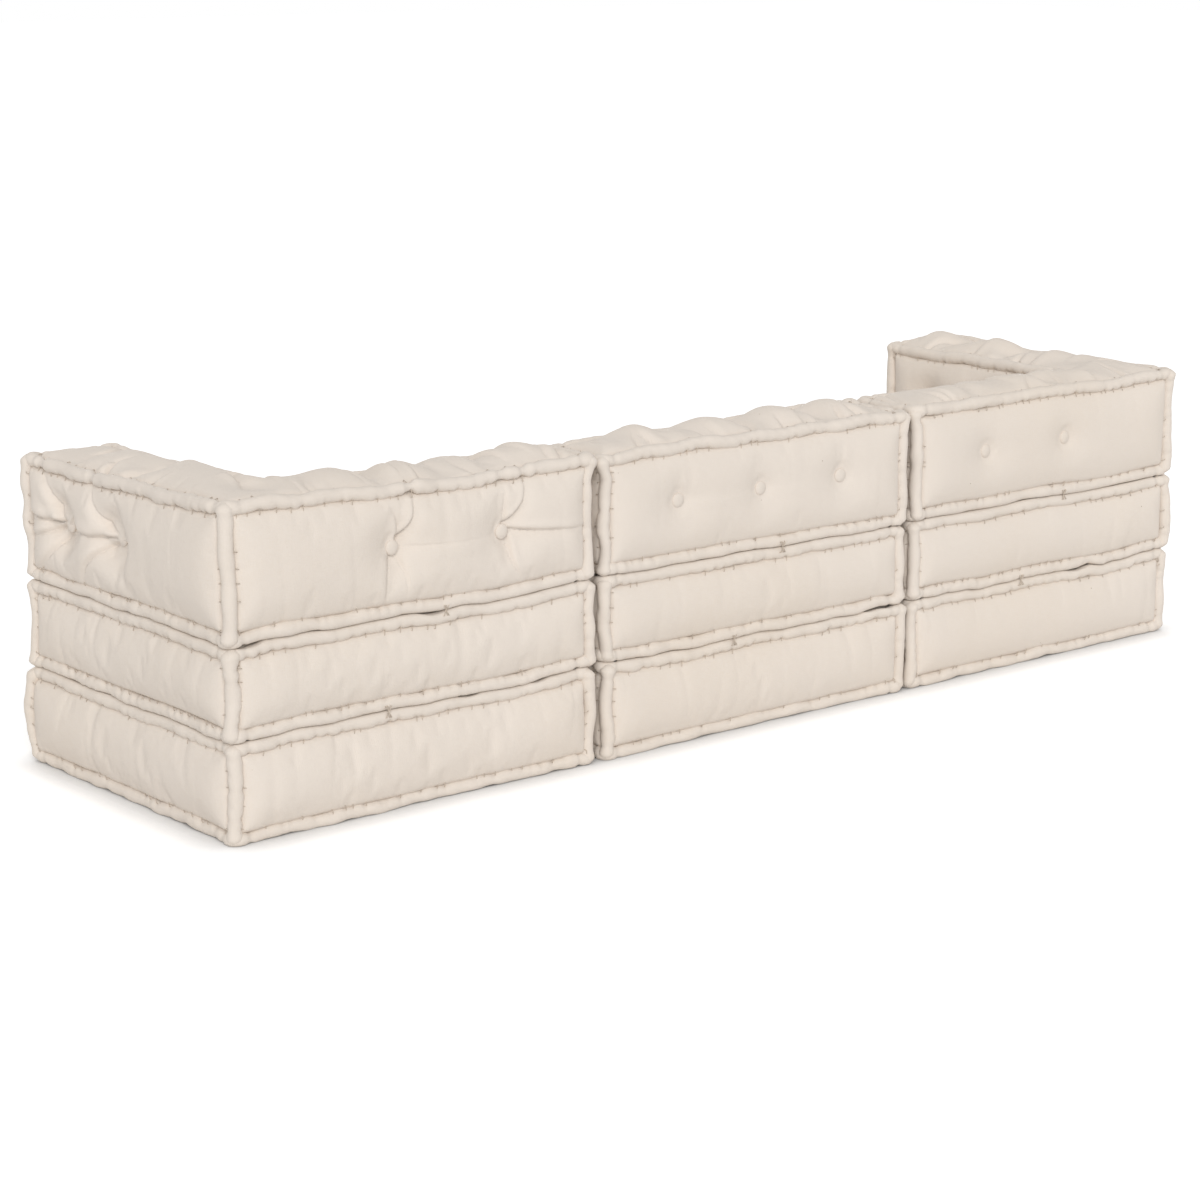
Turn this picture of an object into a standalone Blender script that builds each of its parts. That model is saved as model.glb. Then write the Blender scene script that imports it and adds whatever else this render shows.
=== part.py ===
"""Low modular sofa: three free-standing modules of stacked, tufted cotton pads.

Metres, +Z up. A sitter faces -Y, +X is to the right seen from the front, and the floor is z = 0.
Each module is a base pad, a seat pad and a back pad; the back pad of an end module turns the
corner and is the arm as well. Every pad is a cover, its stuffing and a rolled edge, and buttons
on twine through the pad tie its tufts.
"""

import math

import bmesh
import bpy
from mathutils import Vector

# Modules, measured over their rolled edges
MODULE_WIDTH = 0.70
MODULE_DEPTH = 0.60
MODULE_GAP = 0.012
BASE_HEIGHT = 0.160
SEAT_HEIGHT = 0.145
BACK_HEIGHT = 0.205
BACK_THICKNESS = 0.150
ARM_THICKNESS = 0.170

# Form of a pad
ROLL_RADIUS = 0.0085
POST_RADIUS = 0.0080  # rolled edge along the upright corners
EDGE_BOW = 0.005  # how far an edge draws in halfway between its corners
SWELL_LENGTH = 0.060  # distance from the edge at which a panel is swollen out fully
SEAT_CROWN = 0.012
BACK_CROWN = 0.018
TOP_DIP = 0.012  # depth of the tufted points along the top of a back or an arm

# Tufts
BACK_TUFT_PITCH = 0.185
BACK_TUFT_HEIGHT = 0.108  # above the underside of the back pad
CORNER_TUFT_FIRST = 0.135  # from the inner face of the arm
CORNER_TUFT_PITCH = 0.210
ARM_TUFT_FIRST = 0.170  # from the front face of the back
ARM_TUFT_PITCH = 0.155
SEAT_TUFT_PITCH = 0.185
TUFT_SINK = 0.014  # how far a tufted point lies below the pad's outline
BUTTON_RADIUS = 0.010
BUTTON_HEIGHT = 0.004
TWINE_RADIUS = 0.002

# Tack stitches between the pads of a module
TACK_RADIUS = 0.003
TACK_LENGTH = 0.024
LOWER_TACK = 0.060  # sideways from the middle of the module
UPPER_TACK = -0.050

# Cloth, stuffing and gaps
COVER_WALL = 0.003
FILL_GAP = 0.0012
ROLL_GAP = 0.0005
TACK_GAP = 0.0004
CLEARANCE = 0.0003

# The cover's edges stand this far inside the outline, so that the roll lies in the corner beside them
EDGE_INSET = ROLL_RADIUS + (ROLL_RADIUS + ROLL_GAP) / math.sqrt(2)
# Modules push against each other where their sides are swollen
SIDE_REACH = EDGE_INSET + (MODULE_GAP - CLEARANCE) / 2
REST_REACH = EDGE_INSET - CLEARANCE / 2
TUFT_REACH = EDGE_INSET - TUFT_SINK
HOLE_REACH = (TWINE_RADIUS + CLEARANCE) / math.cos(math.pi / 6)
MODULE_PITCH = MODULE_WIDTH + MODULE_GAP
SEAT_TOP = BASE_HEIGHT + SEAT_HEIGHT
HALF_WIDTH = MODULE_WIDTH / 2
HALF_DEPTH = MODULE_DEPTH / 2
ARM_FACE = HALF_WIDTH - ARM_THICKNESS
BACK_FACE = HALF_DEPTH - BACK_THICKNESS

ROLL_SIDES = 6
TIE_SIDES = 6
TACK_SIDES = 8

CANVAS = (0.72, 0.63, 0.54)
ROLLED_CANVAS = (0.74, 0.65, 0.56)
STUFFING = (0.80, 0.77, 0.70)
BUTTON_CANVAS = (0.68, 0.59, 0.50)
THREAD = (0.62, 0.55, 0.45)


def swollen(distance):
    """Share of its full swell that a panel has at a distance from its edge: steep first, then level."""
    share = min(1.0, max(0.0, distance) / SWELL_LENGTH)
    return 1.0 - (1.0 - share) ** 2


def spread(low, high, stops):
    """Grid lines from low to high: the stops, and a line halfway between each two neighbours."""
    marks = [low, *stops, high]
    lines = []
    for near, far in zip(marks, marks[1:]):
        lines += [near, (near + far) / 2]
    return lines + [high]


class Pad:
    """A pad's grid lines, the corner cut out of an L-shaped pad, how far its panels swell, its tufts.

    The outermost grid lines are the edges of the cover. Cells before both notch lines are left out.
    A tuft is (axis, line, line): the axis its twine follows and its place on the two other axes.
    """

    def __init__(self, x, y, z, notch=(0, 0), hand=1):
        self.lines = (x, y, z)
        self.last = tuple(len(line) - 1 for line in (x, y, z))
        self.notch = notch
        self.hand = hand
        self.top_reach = REST_REACH
        self.bottom_reach = REST_REACH
        self.crown = None
        self.dips = []
        self.tufts = []

    def fills(self, i, j):
        inside = 0 <= i < self.last[0] and 0 <= j < self.last[1]
        return inside and not (i < self.notch[0] and j < self.notch[1])

    def panels(self):
        """Upright panels as (axis, direction, line, first line along it, last line along it).

        They go anticlockwise seen from above: front, right, rear, left, then the two inside an L.
        """
        notch_x, notch_y = self.notch
        last_x, last_y = self.last[:2]
        panels = [(1, -1, 0, notch_x, last_x), (0, 1, last_x, 0, last_y)]
        panels += [(1, 1, last_y, 0, last_x), (0, -1, 0, notch_y, last_y)]
        if notch_x:
            panels += [(1, -1, notch_y, 0, notch_x), (0, -1, notch_x, 0, notch_y)]
        return panels

    def tuft_ends(self, tuft):
        """The two grid points where the twine of a tuft leaves the pad, the lower one first."""
        axis, first, second = tuft
        low = 0 if axis == 2 else self.notch[axis]
        ends = []
        for line in (low, self.last[axis]):
            point = [first, second]
            point.insert(axis, line)
            ends.append(tuple(point))
        return ends

    def tufted(self, point):
        return any(point in self.tuft_ends(tuft) for tuft in self.tufts)

    def peak(self, panel):
        """The grid line nearest the middle of an upright panel, where its edges draw in most."""
        axis, _, _, first, last = panel
        along = self.lines[1 - axis][first : last + 1]
        return min(along, key=lambda line: abs(2 * line - along[0] - along[-1]))

    def bow(self, panel, here):
        """How far the edges of an upright panel draw in at a place along it."""
        axis, _, _, first, last = panel
        end = self.lines[1 - axis][first if here < self.peak(panel) else last]
        return EDGE_BOW * (here - end) / (self.peak(panel) - end)

    def side_reach(self, point, panel):
        """How far an upright panel stands out from the cover's edge line at a grid point."""
        axis, _, _, first, last = panel
        along, height = self.lines[1 - axis], self.lines[2]
        here, upright = along[point[1 - axis]], height[point[2]]
        swell = swollen(min(here - along[first], along[last] - here))
        swell *= swollen(min(upright - height[0], height[-1] - upright))
        return min((SIDE_REACH + EDGE_BOW) * swell - self.bow(panel, here), SIDE_REACH)

    def level_reach(self, point):
        """How far the top or the bottom panel stands out at a grid point inside the outline."""
        i, j, k = point
        x, y = self.lines[0], self.lines[1]
        if any(self.notch) and (i, j) == self.notch:
            return 0.0
        left = x[0] if j >= self.notch[1] else x[self.notch[0]]
        front = y[0] if i >= self.notch[0] else y[self.notch[1]]
        swell = swollen(x[i] - left) * swollen(x[-1] - x[i])
        swell *= swollen(y[j] - front) * swollen(y[-1] - y[j])
        if k == 0:
            return self.bottom_reach * swell
        reach = self.top_reach * swell
        if (i, j) in self.dips:
            reach -= TOP_DIP
        if self.crown:
            x_low, x_high, y_low, y_high = self.crown
            rise = swollen(x[i] - x_low) * swollen(x_high - x[i])
            reach += SEAT_CROWN * rise * swollen(y[j] - y_low) * swollen(y_high - y[j])
        return reach

    def place(self, point, inset=0.0, seam=0.0):
        """Where a grid point of the surface lies, with the whole surface set in by an inset.

        The inset is doubled along the inner corner of an L, where the cover's inside is rounder. The
        seam is the gap that a stuffing block keeps to its neighbour at the notch line.
        """
        if any(self.notch) and point[:2] == self.notch:
            inset *= 2
        spot = []
        for axis in range(3):
            spot.append(self.lines[axis][point[axis]])
            if point[axis] == self.last[axis]:
                spot[axis] -= inset
            elif point[axis] == 0 or (axis < 2 and point[axis] == self.notch[axis]):
                spot[axis] += inset
        if seam and point[1] == self.notch[1]:
            spot[1] -= seam
        for panel in self.panels():
            axis, direction, line, first, last = panel
            if point[axis] == line and first <= point[1 - axis] <= last:
                inside = first < point[1 - axis] < last and 0 < point[2] < self.last[2]
                tufted = inside and self.tufted(point)
                spot[axis] += direction * (TUFT_REACH if tufted else self.side_reach(point, panel))
        if point[2] in (0, self.last[2]):
            direction = 1 if point[2] else -1
            spot[2] += direction * (TUFT_REACH if self.tufted(point) else self.level_reach(point))
        return Vector((self.hand * spot[0], spot[1], spot[2]))

    def surface(self, keep, inset=0.0, seam=0.0):
        """Closed surface around the kept cells, with the mesh vertex at each grid point.

        Each cell is split into two triangles along the steeper diagonal, so that a dimple slopes
        evenly all round and the corners of a panel are hipped.
        """
        bm = bmesh.new()
        verts = {}

        def add_cell(axis, points):
            levels = [self.place(point)[axis] for point in points]
            if abs(levels[1] - levels[3]) > abs(levels[0] - levels[2]):
                points = points[1:] + points[:1]
            for point in points:
                if point not in verts:
                    verts[point] = bm.verts.new(self.place(point, inset, seam))
            first, second, third, fourth = (verts[point] for point in points)
            bm.faces.new((first, second, third))
            bm.faces.new((first, third, fourth))

        top = self.last[2]
        cells = [(i, j) for i in range(self.last[0]) for j in range(self.last[1]) if keep(i, j)]
        for i, j in cells:
            ring = [(i, j), (i + 1, j), (i + 1, j + 1), (i, j + 1)]
            for k in (0, top):
                add_cell(2, [(*corner, k) for corner in ring])
            beyond = [(i, j - 1), (i + 1, j), (i, j + 1), (i - 1, j)]
            for start, end, outside in zip(ring, ring[1:] + ring[:1], beyond):
                if outside in cells:
                    continue
                axis = 0 if start[0] == end[0] else 1
                for k in range(top):
                    add_cell(axis, [(*start, k), (*end, k), (*end, k + 1), (*start, k + 1)])
        bmesh.ops.recalc_face_normals(bm, faces=bm.faces)
        return bm, verts

    def roll_line(self, panel):
        """Where the centre line of the rolled edge runs beside an upright panel, before it draws in."""
        axis, direction, line, _, _ = panel
        return self.lines[axis][line] + direction * (EDGE_INSET - ROLL_RADIUS)

    def outline(self):
        """Centre line of the rolled edge seen from above: by turns a corner and an edge's middle."""
        panels = self.panels()
        path = []
        for before, panel in zip(panels[-1:] + panels[:-1], panels):
            axis, direction = panel[:2]
            corner = [self.roll_line(panel), self.roll_line(panel)]
            corner[before[0]] = self.roll_line(before)
            middle = [self.peak(panel), self.peak(panel)]
            middle[axis] = self.roll_line(panel) - direction * EDGE_BOW
            path += [Vector(corner), Vector(middle)]
        return path

    def roll_heights(self):
        outward = EDGE_INSET - ROLL_RADIUS
        return self.lines[2][0] - outward, self.lines[2][-1] + outward


def material(name, colour, roughness):
    mat = bpy.data.materials.new(name)
    mat.use_nodes = True
    shader = mat.node_tree.nodes["Principled BSDF"]
    shader.inputs["Base Color"].default_value = (*colour, 1.0)
    shader.inputs["Roughness"].default_value = roughness
    return mat


def add(name, bm, parent, colour, roughness=0.9):
    """Puts a finished mesh into the scene as one named piece of a module."""
    mesh = bpy.data.meshes.new(name)
    bm.to_mesh(mesh)
    bm.free()
    piece = bpy.data.objects.new(name, mesh)
    bpy.context.scene.collection.objects.link(piece)
    piece.parent = parent
    mesh.materials.append(material(name, colour, roughness))
    return piece


def open_tufts(bm, pad, verts, through):
    """Opens the surface where each twine passes; with through, a tunnel joins the two openings."""
    for tuft in pad.tufts:
        ends = [verts.get(point) for point in pad.tuft_ends(tuft)]
        if None in ends:
            continue
        rims = []
        for end in ends:
            cut = bmesh.ops.bevel(
                bm, geom=[end], offset=HOLE_REACH, offset_type="OFFSET", segments=1, affect="VERTICES"
            )
            plug = min(cut["faces"], key=lambda face: face.calc_area())
            rims += list(plug.edges)
            bmesh.ops.delete(bm, geom=[plug], context="FACES_ONLY")
        if through:
            bmesh.ops.bridge_loops(bm, edges=rims)
    bmesh.ops.recalc_face_normals(bm, faces=bm.faces)


def add_cover(name, pad, slit, parent):
    """Cloth cover, open at the filling slit in its underside and where the twine passes."""
    bm, verts = pad.surface(pad.fills)
    i, j = slit
    corners = {verts[(i, j, 0)], verts[(i + 1, j, 0)], verts[(i + 1, j + 1, 0)], verts[(i, j + 1, 0)]}
    opening = [face for face in bm.faces if corners.issuperset(face.verts)]
    open_tufts(bm, pad, verts, through=False)
    bmesh.ops.delete(bm, geom=opening, context="FACES_ONLY")
    piece = add(name, bm, parent, CANVAS)
    wall = piece.modifiers.new("Cloth", "SOLIDIFY")
    wall.thickness = COVER_WALL
    wall.offset = -1.0
    wall.use_even_offset = True
    wall.use_quality_normals = True


def add_fill(name, pad, keep, parent, seam=0.0):
    """Stuffing block that fills the kept cells inside the cover, with a tunnel for each twine."""
    bm, verts = pad.surface(keep, COVER_WALL + FILL_GAP, seam)
    open_tufts(bm, pad, verts, through=True)
    add(name, bm, parent, STUFFING)


def add_ring(bm, path, hand, height, towards):
    """Closed level tube along a path seen from above, with a ridge at one angle of its section."""
    rings = []
    for before, here, after in zip(path[-1:] + path[:-1], path, path[1:] + path[:1]):
        arriving, leaving = (here - before).normalized(), (after - here).normalized()
        mitre = (Vector((arriving.y, -arriving.x)) + Vector((leaving.y, -leaving.x))).normalized()
        stretch = ROLL_RADIUS / mitre.dot(Vector((leaving.y, -leaving.x)))
        ring = []
        for side in range(ROLL_SIDES):
            angle = towards + 2 * math.pi * side / ROLL_SIDES
            spot = here + mitre * stretch * math.cos(angle)
            ring.append(bm.verts.new((hand * spot.x, spot.y, height + ROLL_RADIUS * math.sin(angle))))
        rings.append(ring)
    for ring, following in zip(rings, rings[1:] + rings[:1]):
        for side in range(ROLL_SIDES):
            other = (side + 1) % ROLL_SIDES
            bm.faces.new((ring[side], following[side], following[other], ring[other]))


def add_edge_roll(name, pad, parent):
    """Rolled edge of a pad: a ring around its top and its underside, joined by the upright corners."""
    path = pad.outline()
    low, high = pad.roll_heights()
    bm = bmesh.new()
    for height, cover_angle in ((low, 0.75 * math.pi), (high, 1.25 * math.pi)):
        add_ring(bm, path, pad.hand, height, cover_angle)
    bmesh.ops.recalc_face_normals(bm, faces=bm.faces)
    roll = add(name, bm, parent, ROLLED_CANVAS)
    bm = bmesh.new()
    outer_corners = path[0:10:2]
    for corner in outer_corners:
        centre = Vector((pad.hand * corner.x, corner.y, (low + high) / 2))
        made = bmesh.ops.create_cone(
            bm, cap_ends=True, segments=ROLL_SIDES, radius1=POST_RADIUS, radius2=POST_RADIUS, depth=high - low
        )
        bmesh.ops.translate(bm, verts=made["verts"], vec=centre)
    posts = add(name + "_posts", bm, parent, ROLLED_CANVAS)
    posts.hide_render = True
    posts.display_type = "WIRE"
    join = roll.modifiers.new("Corners", "BOOLEAN")
    join.operation = "UNION"
    join.solver = "EXACT"
    join.object = posts


def turned(profile, sides):
    """Closed solid turned about Z from (radius, height) points that start and end on the axis."""
    bm = bmesh.new()
    rings = []
    for radius, height in profile[1:-1]:
        ring = []
        for side in range(sides):
            angle = 2 * math.pi * side / sides
            ring.append(bm.verts.new((radius * math.cos(angle), radius * math.sin(angle), height)))
        rings.append(ring)
    low, high = (bm.verts.new((0.0, 0.0, profile[end][1])) for end in (0, -1))
    for side in range(sides):
        other = (side + 1) % sides
        bm.faces.new((low, rings[0][other], rings[0][side]))
        bm.faces.new((high, rings[-1][side], rings[-1][other]))
        for ring, following in zip(rings, rings[1:]):
            bm.faces.new((ring[side], ring[other], following[other], following[side]))
    return bm


def button_lift(pad, point, axis):
    """How far a button's flat underside stands off the tufted point, so that its rim clears the dimple."""
    here = pad.place(point)
    slopes = []
    for across in range(3):
        if across == axis:
            continue
        for step in (-1, 1):
            beside = list(point)
            beside[across] += step
            offset = pad.place(tuple(beside)) - here
            slopes.append(abs(offset[axis]) / abs(offset[across]))
    return BUTTON_RADIUS * max(slopes) + CLEARANCE


def add_ties(name, pad, parent):
    """A tie through the pad for each tuft: a button on each face and the twine between them."""
    for number, tuft in enumerate(pad.tufts, 1):
        axis = tuft[0]
        ends = pad.tuft_ends(tuft)
        spots = [pad.place(point) for point in ends]
        middle = (spots[0] + spots[1]) / 2
        half = abs(spots[1][axis] - spots[0][axis]) / 2
        low = -half - button_lift(pad, ends[0], axis)
        high = half + button_lift(pad, ends[1], axis)
        if axis == 0 and pad.hand < 0:
            low, high = -high, -low
        rim = 0.4 * BUTTON_HEIGHT
        profile = [(0.0, low - BUTTON_HEIGHT), (0.6 * BUTTON_RADIUS, low - 0.8 * BUTTON_HEIGHT)]
        profile += [(BUTTON_RADIUS, low - rim), (BUTTON_RADIUS, low), (TWINE_RADIUS, low)]
        profile += [(TWINE_RADIUS, high), (BUTTON_RADIUS, high), (BUTTON_RADIUS, high + rim)]
        profile += [(0.6 * BUTTON_RADIUS, high + 0.8 * BUTTON_HEIGHT), (0.0, high + BUTTON_HEIGHT)]
        tie = add(f"{name}_tie_{number}", turned(profile, TIE_SIDES), parent, BUTTON_CANVAS)
        tie.location = middle
        tie.rotation_euler = ((0.0, math.pi / 2, 0.0), (-math.pi / 2, 0.0, 0.0), (0.0, 0.0, 0.0))[axis]


def add_tack(name, pad, sideways, parent):
    """Knot of the tack stitch in the groove between a pad's lower roll and the roll of the pad below."""
    rear = pad.panels()[2]
    roll = pad.roll_line(rear) - pad.bow(rear, pad.hand * sideways)
    seam = pad.roll_heights()[0] - ROLL_RADIUS
    outward = math.sqrt((ROLL_RADIUS + TACK_RADIUS + TACK_GAP) ** 2 - ROLL_RADIUS**2)
    half = TACK_LENGTH / 2
    profile = [(0.0, -half), (0.8 * TACK_RADIUS, -0.7 * half), (TACK_RADIUS, 0.0)]
    profile += [(0.8 * TACK_RADIUS, 0.7 * half), (0.0, half)]
    tack = add(name, turned(profile, TACK_SIDES), parent, THREAD)
    tack.location = (sideways, roll + outward, seam)
    tack.rotation_euler = (0.0, math.pi / 2, 0.0)


def edge_lines(low, high):
    return low + EDGE_INSET, high - EDGE_INSET


def base_pad():
    lines = []
    for half in (HALF_WIDTH, HALF_DEPTH):
        low, high = edge_lines(-half, half)
        lines.append([low, low + SWELL_LENGTH, 0.0, high - SWELL_LENGTH, high])
    pad = Pad(*lines, spread(*edge_lines(0.0, BASE_HEIGHT), []))
    pad.bottom_reach = EDGE_INSET
    return pad


def seat_pad(has_arm, hand):
    left, right = edge_lines(-HALF_WIDTH, HALF_WIDTH)
    front, rear = edge_lines(-HALF_DEPTH, HALF_DEPTH)
    open_right = ARM_FACE if has_arm else HALF_WIDTH
    middle = (open_right - HALF_WIDTH) / 2
    steps = (-0.5, 0.5) if has_arm else (-1, 0, 1)
    columns = [middle + step * SEAT_TUFT_PITCH for step in steps]
    centre = (BACK_FACE - HALF_DEPTH) / 2
    rows = [centre - SEAT_TUFT_PITCH / 2, centre + SEAT_TUFT_PITCH / 2]
    x = spread(left, right, columns)
    if has_arm:
        x = spread(left, ARM_FACE, columns) + [(ARM_FACE + HALF_WIDTH) / 2, right]
    y = spread(front, BACK_FACE, rows) + [(BACK_FACE + HALF_DEPTH) / 2, rear]
    pad = Pad(x, y, spread(*edge_lines(BASE_HEIGHT, SEAT_TOP), []), hand=hand)
    pad.crown = (left, min(open_right, right), front, BACK_FACE)
    pad.tufts = [(2, x.index(column), y.index(row)) for column in columns for row in rows]
    return pad


def straight_back_pad():
    x_low, x_high = edge_lines(-HALF_WIDTH, HALF_WIDTH)
    columns = [step * BACK_TUFT_PITCH for step in (-1, 0, 1)]
    x = spread(x_low, x_high, columns)
    y = spread(*edge_lines(BACK_FACE, HALF_DEPTH), [])
    row = SEAT_TOP + BACK_TUFT_HEIGHT
    z = spread(*edge_lines(SEAT_TOP, SEAT_TOP + BACK_HEIGHT), [row])
    pad = Pad(x, y, z)
    pad.top_reach = EDGE_INSET + BACK_CROWN
    pad.dips = [(x.index(column), 1) for column in columns]
    pad.tufts = [(1, x.index(column), z.index(row)) for column in columns]
    return pad


def corner_back_pad(hand):
    left, right = edge_lines(-HALF_WIDTH, HALF_WIDTH)
    front, rear = edge_lines(-HALF_DEPTH, HALF_DEPTH)
    arm, back = ARM_FACE + EDGE_INSET, BACK_FACE + EDGE_INSET
    columns = [ARM_FACE - CORNER_TUFT_FIRST - step * CORNER_TUFT_PITCH for step in (1, 0)]
    places = [BACK_FACE - ARM_TUFT_FIRST - step * ARM_TUFT_PITCH for step in (1, 0)]
    row = SEAT_TOP + BACK_TUFT_HEIGHT
    x = spread(left, arm, columns) + [(arm + right) / 2, right]
    y = spread(front, back, places) + [(back + rear) / 2, rear]
    z = spread(*edge_lines(SEAT_TOP, SEAT_TOP + BACK_HEIGHT), [row])
    pad = Pad(x, y, z, notch=(x.index(arm), y.index(back)), hand=hand)
    pad.top_reach = EDGE_INSET + BACK_CROWN
    pad.dips = [(x.index(column), len(y) - 2) for column in columns]
    pad.dips += [(len(x) - 2, y.index(place)) for place in places]
    pad.tufts = [(1, x.index(column), z.index(row)) for column in columns]
    pad.tufts += [(0, y.index(place), z.index(row)) for place in places]
    return pad


def add_module(name, offset, has_arm, hand):
    """One free-standing module: three stacked pads, their ties and the tacks between them."""
    module = bpy.data.objects.new(name, None)
    module.location = (offset, 0.0, 0.0)
    bpy.context.scene.collection.objects.link(module)
    base = base_pad()
    add_cover(name + "_base_cover", base, (1, base.last[1] - 1), module)
    add_fill(name + "_base_fill", base, base.fills, module)
    add_edge_roll(name + "_base_edge_roll", base, module)
    seat = seat_pad(has_arm, hand)
    add_cover(name + "_seat_cover", seat, (3, seat.last[1] - 1), module)
    add_fill(name + "_seat_fill", seat, seat.fills, module)
    add_edge_roll(name + "_seat_edge_roll", seat, module)
    add_ties(name + "_seat", seat, module)
    add_tack(name + "_base_tack", seat, LOWER_TACK, module)
    back = corner_back_pad(hand) if has_arm else straight_back_pad()
    add_cover(name + "_back_cover", back, (3, back.last[1] - 1), module)
    add_edge_roll(name + "_back_edge_roll", back, module)
    add_ties(name + "_back", back, module)
    add_tack(name + "_seat_tack", back, UPPER_TACK, module)
    behind = back.notch[1]
    add_fill(name + "_back_fill", back, lambda i, j: back.fills(i, j) and j >= behind, module)
    if has_arm:
        add_fill(name + "_arm_fill", back, lambda i, j: back.fills(i, j) and j < behind, module, FILL_GAP)


def main():
    for old in list(bpy.data.objects):
        bpy.data.objects.remove(old, do_unlink=True)
    add_module("left", -MODULE_PITCH, True, -1)
    add_module("middle", 0.0, False, 1)
    add_module("right", MODULE_PITCH, True, 1)


main()
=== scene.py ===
import math

import bpy
import numpy as np
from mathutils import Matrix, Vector


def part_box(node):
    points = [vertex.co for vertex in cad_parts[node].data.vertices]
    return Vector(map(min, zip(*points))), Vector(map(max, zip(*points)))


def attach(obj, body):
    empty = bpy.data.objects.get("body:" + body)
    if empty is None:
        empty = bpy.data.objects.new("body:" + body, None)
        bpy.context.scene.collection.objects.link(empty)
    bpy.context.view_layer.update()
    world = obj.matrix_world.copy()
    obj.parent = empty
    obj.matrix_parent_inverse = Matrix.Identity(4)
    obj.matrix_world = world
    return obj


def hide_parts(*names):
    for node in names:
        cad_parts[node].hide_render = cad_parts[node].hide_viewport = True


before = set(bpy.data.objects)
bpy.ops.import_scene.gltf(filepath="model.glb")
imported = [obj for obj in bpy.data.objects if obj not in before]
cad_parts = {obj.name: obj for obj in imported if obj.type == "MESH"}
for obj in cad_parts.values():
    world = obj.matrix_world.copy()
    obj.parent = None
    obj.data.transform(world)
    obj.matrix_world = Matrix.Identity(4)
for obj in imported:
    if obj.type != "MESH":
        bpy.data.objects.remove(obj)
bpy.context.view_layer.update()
scene = bpy.context.scene
scene.view_settings.view_transform = "Standard"
print("frame loaded:", len(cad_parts), "nodes")

hair = 1e-6  # closer than this is the same place


# camera behind the sofa, at the photograph's angle

viewpoint = {
    "azimuth": 140.396,
    "elevation": 13.281,
    "target": (0.2904, 0.2224, 0.2500),
    "distance": 4.8017,
    "lens": 87.25,
    "sensor": 36.0,
}


def aim(thing, place, towards):
    # stands a camera or a lamp at a place, looking along towards
    thing.location = place
    thing.rotation_mode = "QUATERNION"
    thing.rotation_quaternion = towards.to_track_quat("-Z", "Y")
    scene.collection.objects.link(thing)


def addCamera():
    turn = math.radians(viewpoint["azimuth"])
    rise = math.radians(viewpoint["elevation"])
    back = Vector((math.sin(turn) * math.cos(rise), -math.cos(turn) * math.cos(rise), math.sin(rise)))
    data = bpy.data.cameras.new("camera")
    data.lens = viewpoint["lens"]
    data.sensor_width = viewpoint["sensor"]
    camera = bpy.data.objects.new("camera", data)
    aim(camera, Vector(viewpoint["target"]) + back * viewpoint["distance"], -back)
    scene.camera = camera


addCamera()


# shader maths on sockets

class Wire:
    # an output socket of a node tree; sums and products of wires add Math nodes
    def __init__(self, tree, socket=None):
        self.tree = tree
        self.socket = socket

    def node(self, kind, settings=None, inputs=None, output=0):
        made = self.tree.nodes.new(kind)
        for key, value in (settings or {}).items():
            setattr(made, key, value)
        for key, value in (inputs or {}).items():
            if isinstance(value, Wire):
                self.tree.links.new(value.socket, made.inputs[key])
            else:
                made.inputs[key].default_value = value
        return Wire(self.tree, made.outputs[output] if made.outputs else None)

    def beside(self, output):
        # another output of the same node
        return Wire(self.tree, self.socket.node.outputs[output])

    def worked(self, operation, first, second=0.0):
        return self.node("ShaderNodeMath", {"operation": operation}, {0: first, 1: second})

    def __add__(self, other):
        return self.worked("ADD", self, other)

    def __radd__(self, other):
        return self.worked("ADD", other, self)

    def __sub__(self, other):
        return self.worked("SUBTRACT", self, other)

    def __rsub__(self, other):
        return self.worked("SUBTRACT", other, self)

    def __mul__(self, other):
        return self.worked("MULTIPLY", self, other)

    def __rmul__(self, other):
        return self.worked("MULTIPLY", other, self)

    def __gt__(self, other):
        return self.worked("GREATER_THAN", self, other)

    def __lt__(self, other):
        return self.worked("LESS_THAN", self, other)

    def sine(self):
        return self.worked("SINE", self)

    def mixed(self, share, first, second):
        # colours go through Mix: share of the second over the first
        return self.node(
            "ShaderNodeMix", {"data_type": "RGBA"}, {"Factor": share, 6: first, 7: second}, output=2
        )

    def noise(self, place, scale, detail):
        return self.node("ShaderNodeTexNoise", inputs={"Vector": place, "Scale": scale, "Detail": detail})


def emptyTree(owner):
    # the node tree of a material or a world, with nothing in it yet
    owner.use_nodes = True
    owner.node_tree.nodes.clear()
    return Wire(owner.node_tree)


# natural cotton canvas, hand twine

canvasLook = {
    "colour": (0.757, 0.682, 0.608),
    "aged": (0.715, 0.608, 0.487, 1.0),
    "fleck": (0.330, 0.240, 0.160, 1.0),
    "agedFrom": 0.42,
    "agedShare": 0.8,
    "slubShare": 0.5,
    "fleckShare": 0.7,
    "fleckScale": 38.0,
    "fleckRadius": 0.045,
    "fleckRarity": 0.93,
    "threadPitch": 0.0011,
    "slubScales": (70.0, 900.0),
    "slubDetail": 2.0,
    "mottleScale": 2.6,
    "crumpleScale": 55.0,
    "detail": 4.0,
    "weaveHeight": 0.00012,
    "slubHeight": 0.0006,
    "crumpleHeight": 0.0016,
    "bump": 0.55,
    "roughness": 0.92,
    "sheen": 0.05,
    "specular": 0.25,
}


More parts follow.
